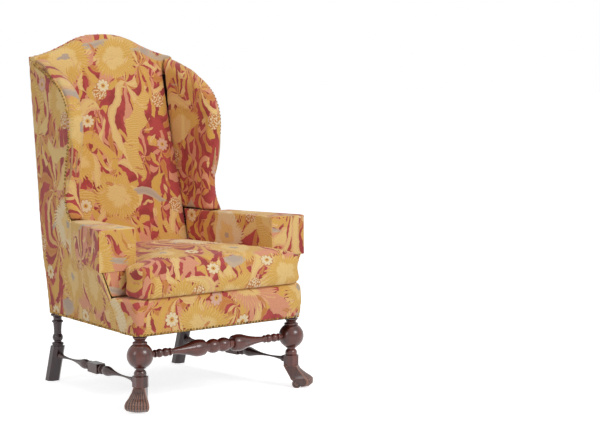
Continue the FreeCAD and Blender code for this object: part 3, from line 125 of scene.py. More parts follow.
def new_group(name, inputs, outputs):
    """An empty node group with named sockets."""
    tree = bpy.data.node_groups.new(name, "ShaderNodeTree")
    for label, kind, value in inputs:
        socket = tree.interface.new_socket(name=label, in_out="INPUT", socket_type="NodeSocket" + kind)
        if value is not None:
            socket.default_value = value
    for label, kind in outputs:
        tree.interface.new_socket(name=label, in_out="OUTPUT", socket_type="NodeSocket" + kind)
    graph = Graph(tree)
    return graph, graph.node("NodeGroupInput").outputs, graph.node("NodeGroupOutput").inputs


def use_group(graph, name, **values):
    made = graph.node("ShaderNodeGroup", node_tree=bpy.data.node_groups[name])
    for label, value in values.items():
        graph.put(made.inputs[label.replace("_", " ")], value)
    return made.outputs


# %% [markdown]
# The cover is a woven tapestry: a brick red ground under large gold foliage, with blooms, ribbed stems,
# daisies and small sprigs on top. An image would be the usual way, but a drawn pattern stays sharp at any
# size. Each motif is laid out by a Voronoi texture: the nearest cell's centre is the middle of a flower,
# the distance and the angle round it draw the petals, and the cell's random colour picks its kind.


# %% Flower shapes from cells
def cell_motif(graph, place, size, randomness=0.8):
    """Distance and angle round the nearest cell centre, and three random numbers of that cell."""
    cells = graph.node("ShaderNodeTexVoronoi", voronoi_dimensions="2D")
    graph.put(cells.inputs["Vector"], place)
    cells.inputs["Scale"].default_value = 1 / size
    cells.inputs["Randomness"].default_value = randomness
    local = graph.vector("SUBTRACT", place, cells.outputs["Position"])
    chance = graph.split(cells.outputs["Color"])
    x, y, _ = graph.split(local)
    turn = graph.calc("MULTIPLY", chance[0], 2 * math.pi)
    angle = graph.calc("ADD", graph.calc("ARCTAN2", y, x), turn)
    return graph.vector("LENGTH", local), angle, chance


def petals(graph, distance, angle, radius, count, depth, serration=0.0):
    """1 inside a flower with rounded petals, 0 outside it."""
    wave = graph.calc("ABSOLUTE", graph.calc("SINE", graph.calc("MULTIPLY", angle, count / 2)))
    reach = graph.calc("MULTIPLY_ADD", graph.calc("POWER", wave, 0.6), depth * radius, radius * (1 - depth))
    if serration:
        teeth = graph.calc("PINGPONG", graph.calc("MULTIPLY", angle, count * 2.5), 1.0)
        reach = graph.calc("MULTIPLY_ADD", teeth, serration * radius, reach)
    return graph.between(graph.calc("SUBTRACT", reach, distance), 0.0, PETAL_EDGE)


def leaf(graph, distance, angle, long, wide):
    """1 inside a pointed leaf that lies along the angle 0."""
    along = graph.calc("MULTIPLY", graph.calc("COSINE", angle), distance)
    across = graph.calc("ABSOLUTE", graph.calc("MULTIPLY", graph.calc("SINE", angle), distance))
    share = graph.calc("DIVIDE", along, long)
    room = graph.calc("SUBTRACT", wide, graph.calc("MULTIPLY", graph.calc("MULTIPLY", share, share), wide))
    return graph.between(graph.calc("SUBTRACT", room, across), 0.0, LEAF_EDGE), across


def picked(graph, chance, share):
    """1 in the cells whose random number is over the share, 0 in the others."""
    return graph.between(chance, share, share + 0.01)


# The soft edge of a motif, in metres: about one thread
PETAL_EDGE = 0.0012
LEAF_EDGE = 0.001
print("motifs drawn round cell centres")

# %% The tapestry's colours
RED = tint("bb4a48")
DEEP_RED = tint("a33d3b")
GOLD = tint("dfae56")
LIGHT_GOLD = tint("ebc680")
SALMON = tint("e09a78")
BEIGE = tint("bda795")
RUST = tint("cd8643")
CREAM = tint("eed8b0")
PALE_BEIGE = tint("ccb296")
PALE_PINK = tint("dfb39c")
print("tapestry colours mixed")

# %% [markdown]
# The lowest layers are leaves. Each cell's centre sends out leaves that curl with the distance: small ones
# first, long ones over them, with the red ground between. Woven motifs aren't drawn with a ruler, so two
# noises move every place a little, a broad one for sway and a fine one for ragged edges, and the leaves are
# stretched up the cloth.

# %% Leaves that fan out
GOLDEN_SHARE = 0.618


def fronds(graph, place, size, reach, count, curl):
    """Leaves that fan out of each cell's centre and curl with the distance: a mask, a stripe and a chance."""
    distance, angle, chance = cell_motif(graph, place, size, 1.0)
    way = graph.calc("MULTIPLY_ADD", graph.between(chance[1], 0.5, 0.51), 2.0, -1.0)
    swirl = graph.calc("MULTIPLY", graph.calc("MULTIPLY", distance, curl), way)
    phase = graph.calc("MULTIPLY", graph.calc("ADD", angle, swirl), count)
    taper = graph.calc("MULTIPLY_ADD", graph.calc("DIVIDE", distance, reach), 1.1, -0.58)
    mask = graph.between(graph.calc("SUBTRACT", graph.calc("SINE", phase), taper), 0.0, 0.16)
    vein = graph.calc("SINE", graph.calc("MULTIPLY", phase, 3.0))
    leaf_turn = graph.calc("ADD", phase, math.pi / 2)
    leaf_number = graph.calc("FLOOR", graph.calc("DIVIDE", leaf_turn, 2 * math.pi))
    pick = graph.calc("FRACT", graph.calc("MULTIPLY", graph.calc("ADD", leaf_number, 7.0), GOLDEN_SHARE))
    return mask, vein, pick, chance


# %% Ground and leaves of the tapestry
SWAY = 0.06
RAGGEDNESS = 0.011
UPRIGHT_STRETCH = (1.12, 0.66, 1.0)
LEAF_LAYERS = (
    # size of a cell, reach of its leaves, number of leaves, curl, colours
    (0.062, 0.050, 5, 24.0, (SALMON, RUST, GOLD)),
    (0.150, 0.120, 9, 11.0, (GOLD, LIGHT_GOLD, RUST)),
    (0.205, 0.150, 7, -8.0, (LIGHT_GOLD, GOLD, SALMON)),
)
graph, given, result = new_group(
    "tapestry", [("Place", "Vector", None)], [("Color", "Color"), ("Height", "Float")])
place = given["Place"]
bend = graph.vector("SUBTRACT", graph.noise(place, 8.0, 1).outputs["Color"], (0.5, 0.5, 0.5))
warped = graph.vector("ADD", place, graph.vector("SCALE", bend, scale=SWAY))
ragged = graph.vector("SUBTRACT", graph.noise(place, 42.0, 2).outputs["Color"], (0.5, 0.5, 0.5))
warped = graph.vector("ADD", warped, graph.vector("SCALE", ragged, scale=RAGGEDNESS))
upright = graph.vector("MULTIPLY", warped, UPRIGHT_STRETCH)
sway = graph.split(graph.noise(place, 3.0, 1).outputs["Color"])
color = graph.mix(graph.between(graph.noise(place, 22.0).outputs[0], 0.4, 0.65), RED, DEEP_RED)
relief = None
for size, reach, count, curl, tones in LEAF_LAYERS:
    offset = graph.vector("ADD", upright, (size * 3.1, size * 1.7, 0))
    mask, vein, pick, chance = fronds(graph, offset, size, reach, count, curl)
    tone = graph.mix(graph.between(pick, 0.45, 0.5), tones[0], tones[1])
    tone = graph.mix(graph.between(pick, 0.72, 0.77), tone, tones[2])
    tone = graph.mix(graph.calc("MULTIPLY", graph.between(vein, 0.55, 0.95), 0.4), tone, SALMON)
    mask = graph.calc("MULTIPLY", mask, picked(graph, chance[2], 0.28))
    color = graph.mix(mask, color, tone)
    relief = mask if relief is None else graph.calc("MAXIMUM", relief, mask)
print("leaves:", len(LEAF_LAYERS), "layers")

# %% [markdown]
# Thick ribbed stems run up the cloth, and pale ribbons cross them here and there. Both are bands: a place is
# divided by the spacing, and what is left over tells how far it lies from the middle of its band. A noise
# lets each band begin and end.


# %% Stems and ribbons
def from_band(graph, line, spacing):
    """How far a place lies from the middle of its band, as a share of the spacing."""
    left_over = graph.calc("FRACT", graph.calc("DIVIDE", line, spacing))
    return graph.calc("ABSOLUTE", graph.calc("SUBTRACT", left_over, 0.5))


STEM_SPACING = 0.27
RUNG_SPACING = 0.007
RIBBON_SPACING = 0.3
stem = from_band(graph, graph.calc("MULTIPLY_ADD", sway[0], 0.5, graph.split(warped)[0]), STEM_SPACING)
grown = graph.between(graph.noise(place, 4.0, 0).outputs[0], 0.42, 0.46)
stem_mask = graph.calc("MULTIPLY", graph.between(stem, 0.060, 0.054), grown)
rungs = graph.calc("SINE", graph.calc("MULTIPLY", graph.split(warped)[1], 2 * math.pi / RUNG_SPACING))
color = graph.mix(stem_mask, color, graph.mix(graph.between(rungs, -0.6, 1.4), GOLD, LIGHT_GOLD))
ribbon_line = graph.calc("MULTIPLY_ADD", sway[2], 0.6, graph.calc("MULTIPLY", graph.split(warped)[1], 0.8))
ribbon = from_band(graph, ribbon_line, RIBBON_SPACING)
laid = graph.between(graph.noise(place, 6.0, 0).outputs[0], 0.52, 0.55)
ribbon_mask = graph.calc("MULTIPLY", graph.between(ribbon, 0.070, 0.060), laid)
color = graph.mix(ribbon_mask, color, graph.mix(graph.between(ribbon, 0.015, 0.05), BEIGE, PALE_BEIGE))
print("stems every", STEM_SPACING, "m, ribbons every", RIBBON_SPACING, "m")

# %% [markdown]
# Large serrated blooms lie on top of the leaves. Their petals are streaked towards the tips, most are gold,
# some are salmon or cream, and some have a beige heart.

# %% Blooms
BLOOM_SPACING = 0.165
BLOOM_RADIUS = 0.066
INNER_RADIUS = 0.036
HEART_RADIUS = 0.013
distance, angle, chance = cell_motif(graph, warped, BLOOM_SPACING)
bloom_mask = petals(graph, distance, angle, BLOOM_RADIUS, 6, 0.22, 0.26)
bloom_tone = graph.mix(picked(graph, chance[1], 0.62), GOLD, SALMON)
bloom_tone = graph.mix(picked(graph, chance[2], 0.86), bloom_tone, CREAM)
streaks = graph.between(graph.calc("SINE", graph.calc("MULTIPLY", angle, 44)), 0.1, 0.9)
tips = graph.between(distance, 0.025, 0.06)
streaked = graph.calc("MULTIPLY", graph.calc("MULTIPLY", streaks, tips), 0.55)
bloom_tone = graph.mix(streaked, bloom_tone, LIGHT_GOLD)
bloom_tone = graph.mix(petals(graph, distance, angle, INNER_RADIUS, 5, 0.3, 0.3), bloom_tone, LIGHT_GOLD)
heart = petals(graph, distance, angle, HEART_RADIUS, 5, 0.35)
heart = graph.calc("MULTIPLY", heart, picked(graph, chance[2], 0.6))
bloom_tone = graph.mix(heart, bloom_tone, BEIGE)
bloom_mask = graph.calc("MULTIPLY", bloom_mask, picked(graph, chance[0], 0.5))
color = graph.mix(bloom_mask, color, bloom_tone)
print("blooms", 2 * BLOOM_RADIUS, "m across")

# %% [markdown]
# Small motifs fill the gaps: seed heads, which are discs of pale dots, sprigs of one pointed leaf with a
# vein, and daisies with an outline, a gold eye and a red dot.

# %% Seed heads, sprigs and daisies
DISC_SPACING = 0.19
SPRIG_SPACING = 0.040
DAISY_SPACING = 0.12
disc_distance, _, disc_chance = cell_motif(graph, place, DISC_SPACING)
dots = graph.node("ShaderNodeTexVoronoi", voronoi_dimensions="2D")
graph.put(dots.inputs["Vector"], place)
dots.inputs["Scale"].default_value = 170
disc_tone = graph.mix(graph.between(dots.outputs["Distance"], 0.42, 0.34), RUST, CREAM)
disc = graph.between(disc_distance, 0.0235, 0.0225)
disc = graph.calc("MULTIPLY", disc, picked(graph, disc_chance[2], 0.55))
color = graph.mix(disc, color, disc_tone)

sprig_distance, sprig_angle, sprig_chance = cell_motif(graph, warped, SPRIG_SPACING, 0.9)
sprig_mask, sprig_across = leaf(graph, sprig_distance, sprig_angle, 0.019, 0.0058)
sprig_tone = graph.mix(picked(graph, sprig_chance[1], 0.6), LIGHT_GOLD, RUST)
sprig_tone = graph.mix(graph.between(sprig_across, 0.0012, 0.0007), sprig_tone, SALMON)
sprig_mask = graph.calc("MULTIPLY", sprig_mask, picked(graph, sprig_chance[2], 0.6))
color = graph.mix(sprig_mask, color, sprig_tone)

small_distance, small_angle, small_chance = cell_motif(graph, place, DAISY_SPACING)
daisy = petals(graph, small_distance, small_angle, 0.021, 9, 0.36)
daisy_line = petals(graph, small_distance, small_angle, 0.0235, 9, 0.36)
daisy_tone = graph.mix(picked(graph, small_chance[1], 0.5), CREAM, PALE_PINK)
daisy_tone = graph.mix(graph.between(small_distance, 0.0075, 0.0068), daisy_tone, GOLD)
daisy_tone = graph.mix(graph.between(small_distance, 0.003, 0.0024), daisy_tone, DEEP_RED)
wanted = picked(graph, small_chance[2], 0.74)
color = graph.mix(graph.calc("MULTIPLY", daisy_line, wanted), color, RUST)
color = graph.mix(graph.calc("MULTIPLY", daisy, wanted), color, daisy_tone)
print("small motifs drawn")

# %% [markdown]
# Last come the threads: fine ribs one way and the picks between them the other way. They shade the colour a
# little and lift the surface, and a fine noise keeps the cloth from looking printed.

# %% Threads of the tapestry
RIB_WIDTH = 0.0016
PICK_WIDTH = 0.0011
u, v, _ = graph.split(place)
ribs = graph.calc("SINE", graph.calc("MULTIPLY", u, 2 * math.pi / RIB_WIDTH))
picks = graph.calc("SINE", graph.calc("MULTIPLY", v, 2 * math.pi / PICK_WIDTH))
threads = graph.calc("MULTIPLY_ADD", picks, 0.4, ribs)
uneven = graph.calc("MULTIPLY_ADD", graph.noise(place, 260.0, 2).outputs[0], 0.30, 0.85)
shade = graph.calc("MULTIPLY", graph.calc("MULTIPLY_ADD", threads, 0.05, 1.0), uneven)
shaded = graph.vector("SCALE", color, scale=shade)
graph.put(result["Color"], shaded)
graph.put(result["Height"], graph.calc("MULTIPLY_ADD", threads, 0.35, graph.calc("MULTIPLY", relief, 0.6)))
print("tapestry:", len(graph.tree.nodes), "nodes")

# %% [markdown]
# Each cover is cut from another place on the bolt, so every piece has a material of its own: the same
# tapestry, read from the piece's own map and shifted. Wool on linen is rough with a faint sheen.

# %% Cover materials
PATTERN_SHARE = 0.78


def cover_material(name, shift):
    """Tapestry from the piece's own map. The shift keeps two pieces from showing the same flowers."""
    material = bpy.data.materials.new(name)
    material.use_nodes = True
    graph = Graph(material.node_tree)
    shader = material.node_tree.nodes["Principled BSDF"]
    own_map = graph.node("ShaderNodeUVMap", uv_map="cloth")
    spot = graph.node("ShaderNodeMapping")
    graph.put(spot.inputs["Vector"], own_map.outputs[0])
    spot.inputs["Location"].default_value = (shift[0], shift[1], 0)
    spot.inputs["Scale"].default_value = (PATTERN_SHARE, PATTERN_SHARE, 1)
    woven = use_group(graph, "tapestry", Place=spot.outputs[0])
    graph.put(shader.inputs["Base Color"], woven["Color"])
    bump = graph.node("ShaderNodeBump")
    bump.inputs["Strength"].default_value = 0.5
    bump.inputs["Distance"].default_value = 0.0006
    graph.put(bump.inputs["Height"], woven["Height"])
    graph.put(shader.inputs["Normal"], bump.outputs[0])
    shader.inputs["Roughness"].default_value = 0.88
    shader.inputs["Sheen Weight"].default_value = 0.25
    shader.inputs["Sheen Roughness"].default_value = 0.5
    shader.inputs["Specular IOR Level"].default_value = 0.25
    return material


# %% [markdown]
# The legs and stretchers are mahogany under a deep polish. The grain is a noise stretched along the timber,
# so each direction of timber gets its own material. Darker polish gathers in the hollows, which the noise
# with a large scale imitates, and a clear coat gives the sharp highlights on the turned balls.

# %% Wood finishes
graph, given, result = new_group(
    "timber", [("Place", "Vector", None), ("Light", "Color", (1, 1, 1, 1)), ("Dark", "Color", (0, 0, 0, 1))],
    [("Color", "Color"), ("Height", "Float"), ("Roughness", "Float")])
fibre = graph.noise(given["Place"], 90.0, 4, flat=False)
figure = graph.noise(given["Place"], 16.0, 2, flat=False)
streaks = graph.calc("MULTIPLY_ADD", fibre.outputs[0], 0.5, graph.calc("MULTIPLY", figure.outputs[0], 0.6))
share = graph.between(streaks, 0.35, 0.75)
graph.put(result["Color"], graph.mix(share, given["Dark"], given["Light"]))
graph.put(result["Height"], fibre.outputs[0])
graph.put(result["Roughness"], graph.calc("MULTIPLY_ADD", figure.outputs[0], 0.15, 0.22))


def wood_material(name, stretch, light, dark, coat, rough):
    material = bpy.data.materials.new(name)
    material.use_nodes = True
    graph = Graph(material.node_tree)
    shader = material.node_tree.nodes["Principled BSDF"]
    here = graph.node("ShaderNodeTexCoord")
    spot = graph.node("ShaderNodeMapping")
    graph.put(spot.inputs["Vector"], here.outputs["Object"])
    spot.inputs["Scale"].default_value = stretch
    grain = use_group(graph, "timber", Place=spot.outputs[0], Light=light, Dark=dark)
    graph.put(shader.inputs["Base Color"], grain["Color"])
    graph.put(shader.inputs["Roughness"], graph.calc("ADD", grain["Roughness"], rough))
    bump = graph.node("ShaderNodeBump")
    bump.inputs["Strength"].default_value = 0.15
    bump.inputs["Distance"].default_value = 0.0004
    graph.put(bump.inputs["Height"], grain["Height"])
    graph.put(shader.inputs["Normal"], bump.outputs[0])
    shader.inputs["Coat Weight"].default_value = coat
    shader.inputs["Coat Roughness"].default_value = 0.12
    return material


UPRIGHT = (1, 1, 0.12)
ACROSS = (0.12, 1, 1)
IN_DEPTH = (1, 0.12, 1)
RED_BROWN = tint("6e2c1c")
DARK_BROWN = tint("2c0e0a")
polish_upright = wood_material("polish_upright", UPRIGHT, RED_BROWN, DARK_BROWN, 0.5, 0.05)
polish_across = wood_material("polish_across", ACROSS, RED_BROWN, DARK_BROWN, 0.5, 0.05)
polish_depth = wood_material("polish_depth", IN_DEPTH, tint("4a211b"), tint("200b0a"), 0.4, 0.12)
polish_rear = wood_material("polish_rear", UPRIGHT, tint("3a1b20"), tint("1a0a0e"), 0.4, 0.15)
polish_foot = wood_material("polish_foot", UPRIGHT, tint("5e3024"), tint("26100e"), 0.5, 0.08)
raw_wood = wood_material("raw_beech", ACROSS, tint("cfa678"), tint("b0835a"), 0.0, 0.4)
FINISHES = {
    "front_leg": polish_upright,
    "front_foot": polish_foot,
    "front_stretcher": polish_across,
    "side_stretcher": polish_depth,
    "rear_post": polish_rear,
}
RAW_TIMBERS = ("rail", "rail_left", "rail_right", "block_left", "block_right", "post_left", "post_right")
for name, node in nodes.items():
    for start, material in FINISHES.items():
        if name.startswith(start):
            node.data.materials.clear()
            node.data.materials.append(material)
    if name.endswith(RAW_TIMBERS) and not name.startswith("rear_post"):
        node.data.materials.clear()
        node.data.materials.append(raw_wood)
print("wood on the frame:", len(FINISHES), "polished kinds of piece")

# %% [markdown]
# The nails and springs are metal. Old brass isn't one colour: it is brown in the hollows and bright where
# hands and dusters pass, so a noise drives both the colour and the roughness.


# %% Metal finishes
def metal_material(name, bright, dull, rough):
    material = bpy.data.materials.new(name)
    material.use_nodes = True
    graph = Graph(material.node_tree)
    shader = material.node_tree.nodes["Principled BSDF"]
    here = graph.node("ShaderNodeTexCoord").outputs["Object"]
    age = graph.between(graph.noise(here, 140.0, 3, flat=False).outputs[0], 0.35, 0.65)
    graph.put(shader.inputs["Base Color"], graph.mix(age, dull, bright))
    graph.put(shader.inputs["Roughness"], graph.calc("MULTIPLY_ADD", age, -0.2, rough))
    shader.inputs["Metallic"].default_value = 1.0
    return material


brass = metal_material("aged_brass", tint("b08a4a"), tint("5a4524"), 0.5)
steel = metal_material("spring_wire", tint("a06a48"), tint("60483c"), 0.45)
for name, node in nodes.items():
    if name.endswith("nails") or "_nails_" in name:
        node.data.materials.clear()
        node.data.materials.append(brass)
nodes["seat_springs"].data.materials.clear()
nodes["seat_springs"].data.materials.append(steel)
print("metal on the nails and springs")

# %% [markdown]
# Plain cloths: the deck under the cushion, the black cloth under the seat and the jute webbing have a
# simple weave of two crossed waves.


# %% Plain cloth finishes
def plain_cloth(name, light, dark, thread):
    material = bpy.data.materials.new(name)
    material.use_nodes = True
    graph = Graph(material.node_tree)
    shader = material.node_tree.nodes["Principled BSDF"]
    here = graph.node("ShaderNodeTexCoord").outputs["Object"]
    x, y, _ = graph.split(here)
    warp = graph.calc("SINE", graph.calc("MULTIPLY", x, 2 * math.pi / thread))
    weft = graph.calc("SINE", graph.calc("MULTIPLY", y, 2 * math.pi / thread))
    weave = graph.calc("MULTIPLY", warp, weft)
    mottle = graph.noise(here, 60.0, 3, flat=False).outputs[0]
    share = graph.between(graph.calc("MULTIPLY_ADD", weave, 0.3, mottle), 0.2, 0.8)
    graph.put(shader.inputs["Base Color"], graph.mix(share, dark, light))
    bump = graph.node("ShaderNodeBump")
    bump.inputs["Strength"].default_value = 0.4
    bump.inputs["Distance"].default_value = 0.0004
    graph.put(bump.inputs["Height"], weave)
    graph.put(shader.inputs["Normal"], bump.outputs[0])
    shader.inputs["Roughness"].default_value = 0.9
    return material


deck_cloth = plain_cloth("deck_cloth", tint("cdb48c"), tint("b0956c"), 0.002)
dust_cloth = plain_cloth("black_cambric", tint("2c2a2a"), tint("161515"), 0.0016)
jute = plain_cloth("jute", tint("b89a68"), tint("8a6c42"), 0.003)
print("three plain cloths")

# %% [markdown]
# Every padded piece starts as a copy of its solid. The copy is merged, remeshed into an even net, and blown
# up a little by Blender's cloth with pressure, as stuffing fills a cover. How far a point may move is
# capped, and parts that lie against a neighbour are held.


# %% Copy, remesh and stuff
def node_copy(name, *sources):
    """A merged copy of one or more solids as a new object."""
    shape = bmesh.new()
    for source in sources:
        shape.from_mesh(nodes[source].data)
    bmesh.ops.remove_doubles(shape, verts=shape.verts, dist=1e-6)
    mesh = bpy.data.meshes.new(name)
    shape.to_mesh(mesh)
    shape.free()
    piece = bpy.data.objects.new(name, mesh)
    scene.collection.objects.link(piece)
    return piece


def baked(piece):
    """Applies the piece's modifiers."""
    graph_now = bpy.context.evaluated_depsgraph_get()
    mesh = bpy.data.meshes.new_from_object(piece.evaluated_get(graph_now))
    piece.modifiers.clear()
    old = piece.data
    piece.data = mesh
    bpy.data.meshes.remove(old)


def remeshed(piece, voxel):
    net = piece.modifiers.new("net", "REMESH")
    net.mode = "VOXEL"
    net.voxel_size = voxel
    baked(piece)


def smoothed(piece, rounds, factor=0.5):
    shape = bmesh.new()
    shape.from_mesh(piece.data)
    for _ in range(rounds):
        bmesh.ops.smooth_vert(shape, verts=shape.verts, factor=factor,
                              use_axis_x=True, use_axis_y=True, use_axis_z=True)
    shape.to_mesh(piece.data)
    shape.free()


PRESSURE = 4.0
STEPS = 20


def stuffed(piece, limit, held=lambda point: 0.0):
    """Blows the cover up from inside. held gives 1 where the cloth can't move."""
    before = [vertex.co.copy() for vertex in piece.data.vertices]
    pins = piece.vertex_groups.new(name="pins")
    for vertex in piece.data.vertices:
        weight = held(vertex.co)
        if weight > 0:
            pins.add([vertex.index], weight, "REPLACE")
    cloth = piece.modifiers.new("cover", "CLOTH")
    cloth.settings.quality = 4
    cloth.settings.use_pressure = True
    cloth.settings.uniform_pressure_force = PRESSURE
    cloth.settings.effector_weights.gravity = 0
    cloth.settings.vertex_group_mass = "pins"
    for number in range(1, STEPS + 1):
        scene.frame_set(number)
    baked(piece)
    scene.frame_set(1)
    for vertex, start in zip(piece.data.vertices, before):
        way = vertex.co - start
        if way.length > limit:
            vertex.co = start + way.normalized() * limit
    piece.vertex_groups.clear()
    print(piece.name, "stuffed:", len(piece.data.vertices), "points")


# %% [markdown]
# The pattern follows the cloth, so each piece gets a map of its own in metres. The map is a plain rule:
# which way the cloth runs over the face, for the way that the face looks.


# %% Maps for the cloth
def mapped(piece, rule):
    """Writes the map named cloth. The rule turns a point and the face's normal into (u, v)."""
    mesh = piece.data
    layer = mesh.uv_layers.get("cloth") or mesh.uv_layers.new(name="cloth")
    for polygon in mesh.polygons:
        normal = polygon.normal
        for loop in polygon.loop_indices:
            point = mesh.vertices[mesh.loops[loop].vertex_index].co
            layer.data[loop].uv = rule(point, normal)


def finished(piece, material, body, slot, *replaced, fill=0.6, levels=1):
    """Smooth shading, a material, one subdivision and the piece's place in the chair."""
    piece.data.materials.clear()
    piece.data.materials.append(material)
    piece.data.polygons.foreach_set("use_smooth", [True] * len(piece.data.polygons))
    if levels:
        finer = piece.modifiers.new("finer", "SUBSURF")
        finer.levels = levels
        finer.render_levels = levels
    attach(piece, body)
    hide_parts(*replaced)
    print(piece.name, "done:", len(piece.data.polygons), "faces")


# %% [markdown]
# The loose cushion is a T shape with a crown. It is held flat below and where the arms press on it, and the
# stuffing swells the rest by up to a centimetre.

# %% Seat cushion
LARGE_NET = 0.008
ARM_FRONT = -0.275
INSIDE_ARMS = 0.24
CROWN = 0.04
seat = node_copy("seat_cushion_cover", "seat_cushion")
seat_low, seat_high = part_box("seat_cushion")
remeshed(seat, LARGE_NET)


def beside_arm(point):
    if point.z < seat_low.z + LARGE_NET:
        return 1.0
    at_arm = point.y > ARM_FRONT and abs(point.x) > INSIDE_ARMS and point.z < seat_high.z - CROWN
    return 1.0 if at_arm else 0.0


stuffed(seat, 0.010, beside_arm)
for vertex in seat.data.vertices:
    vertex.co.z = max(vertex.co.z, seat_low.z)
mapped(seat, lambda point, normal: (point.y, point.z) if abs(normal.x) > 0.75
       else (point.x, point.y + point.z))
finished(seat, cover_material("tapestry_cushion", (0.37, 0.21)), "seat_cushion", "cushion_fabric",
         "seat_cushion", fill=0.8)

# %% [markdown]
# The inside back is one large pad with a crown and a humped top. It is held along its sides, where the wings
# grip it. The back leans, so the map adds half of the depth to the height, and the flowers keep their shape.

# %% Inside back
back = node_copy("inside_back_cover", "inside_back_pad")
remeshed(back, LARGE_NET)
stuffed(back, 0.008, lambda point: 1.0 if abs(point.x) > INSIDE_ARMS else 0.0)
mapped(back, lambda point, normal: (point.x, point.z + 0.5 * point.y))
finished(back, cover_material("tapestry_back", (0.11, 0.63)), "chair", "back_fabric",
         "inside_back_pad", fill=0.7)


# %% [markdown]
# Wings, arms, caps and outside panels come in pairs. The left one is modelled, and the right one is its
# mirror image with a pattern of its own. A pattern isn't mirrored on a real chair, so each side has its own
# map. A side is -1 on the left and 1 on the right.


# %% Pairs and their maps
def mirror_image(piece, name):
    """The same shape on the other side, its faces turned back to point outwards."""
    shape = bmesh.new()
    shape.from_mesh(piece.data)
    bmesh.ops.scale(shape, vec=(-1, 1, 1), verts=shape.verts)
    bmesh.ops.reverse_faces(shape, faces=shape.faces)
    mesh = bpy.data.meshes.new(name)
    shape.to_mesh(mesh)
    shape.free()
    twin = bpy.data.objects.new(name, mesh)
    scene.collection.objects.link(twin)
    return twin


def sided(rule, side):
    """The rule of a pair, for one of its sides."""
    return lambda point, normal: rule(point, normal, side)


# How squarely a face looks forward or sideways to be mapped as a front or a side
SQUARE_ON = 0.7
CAP_TOP = 0.604


def wing_map(point, normal, side):
    return point.y - side * point.x, point.z


def arm_map(point, normal, side):
    if normal.y < -SQUARE_ON:
        return point.x, point.z
    return point.y, point.z + side * point.x


def cap_map(point, normal, side):
    if normal.y < -SQUARE_ON:
        return point.x, point.z
    if normal.x * side > SQUARE_ON:
        return point.y, side * point.x + 2 * CAP_TOP - point.z
    return point.y, point.z + side * point.x


def panel_map(point, normal, side):
    return side * point.y, point.z


print("four maps for pairs")

# %% [markdown]
# The wing's cover wraps the beech board at the wing's front edge. An even net loses the edge of a thin board,
# so afterwards every point near the board is moved to stand off it by the thickness of cloth and lining. A
# search tree finds the nearest face of a solid quickly.


# %% Room for the boards and for the caps
SEARCH_REACH = 0.02
SWEEP_MARGIN = 0.0015
CAP_SWEEP = 0.36
ON_THE_SOLID = 0.0002


def node_tree(*names):
    """A search tree over one or more solids."""
    shape = bmesh.new()
    for name in names:
        shape.from_mesh(nodes[name].data)
    tree = BVHTree.FromBMesh(shape)
    shape.free()
    return tree


def lifted(piece, board, room):
    """Moves the cover off a board that it wraps, as far as the lining under it is thick."""
    tree = node_tree(board)
    for _ in range(2):
        for vertex in piece.data.vertices:
            spot, outwards, _, _ = tree.find_nearest(vertex.co, SEARCH_REACH)
            if spot is None:
                continue
            gap = (vertex.co - spot).dot(outwards)
            if gap < room:
                vertex.co += outwards * (room - gap)


def clear_of_cap(piece):
    """Cover that stands over the cap, which is lifted off past it, goes back onto the wing's solids."""
    cap = node_tree("arm_cap_left")
    wing = node_tree("wing_pad_left", "wing_post_left")
    around = (-SWEEP_MARGIN, 0, SWEEP_MARGIN)
    tries = [Vector((x, y, 0)) for x in around for y in around]
    moved = 0
    for vertex in piece.data.vertices:
        if any(cap.ray_cast(vertex.co + step, (0, 0, -1), CAP_SWEEP)[0] for step in tries):
            spot, outwards, _, _ = wing.find_nearest(vertex.co)
            vertex.co = spot + outwards * ON_THE_SOLID
            moved += 1
    print("wing cover:", moved, "points moved out of the cap's way")


HEM_HEIGHT = 0.06
HEM_FLARE = 0.002
HEM_WAVE = 0.0025


def cap_hem(piece):
    """The cap's loose outer edge stands off the arm a little and waves."""
    low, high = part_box("arm_cap_left")
    middle = (low.x + high.x) / 2
    for vertex in piece.data.vertices:
        point = vertex.co
        share = max(0.0, 1 - (point.z - low.z) / HEM_HEIGHT)
        wave = math.sin(point.y * 31) + 0.6 * math.sin(point.y * 53 + 1)
        if point.x < middle:
            point.x -= HEM_FLARE * share * (1 + 0.4 * wave)
        point.z += HEM_WAVE * share * wave


# %% [markdown]
# A pair is made in one go: copied, remeshed, smoothed, stuffed, shaped, mirrored, mapped and finished. Wings
# are blown up most. The arms hardly swell under their caps, and the thin caps and panels don't swell at all.


# %% Wings, arms, caps and outside panels
LINING = 0.0025


def pair(stem, node, voxel, limit, rule, shifts, slot, fill, levels=1, rounds=2, wraps=None, shaping=None):
    """Makes the left and the right cover of a pair of pieces. The body is the cap's own for a cap."""
    inside = [wraps + "_left"] if wraps else []
    left = node_copy(stem + "_left_cover", node + "_left", *inside)
    remeshed(left, voxel)
    smoothed(left, rounds)
    if limit:
        stuffed(left, limit)
    if wraps:
        lifted(left, inside[0], LINING)
    if shaping:
        shaping(left)
    right = mirror_image(left, stem + "_right_cover")
    body = {"left": "chair", "right": "chair"}
    if node == "arm_cap":
        body = {"left": "arm_cap_left", "right": "arm_cap_right"}
    for piece, name, side, shift in ((left, "left", -1, shifts[0]), (right, "right", 1, shifts[1])):
        mapped(piece, sided(rule, side))
        finished(piece, cover_material("tapestry_%s_%s" % (stem, name), shift), body[name], slot,
                 "%s_%s" % (node, name), fill=fill, levels=levels)
    return left, right


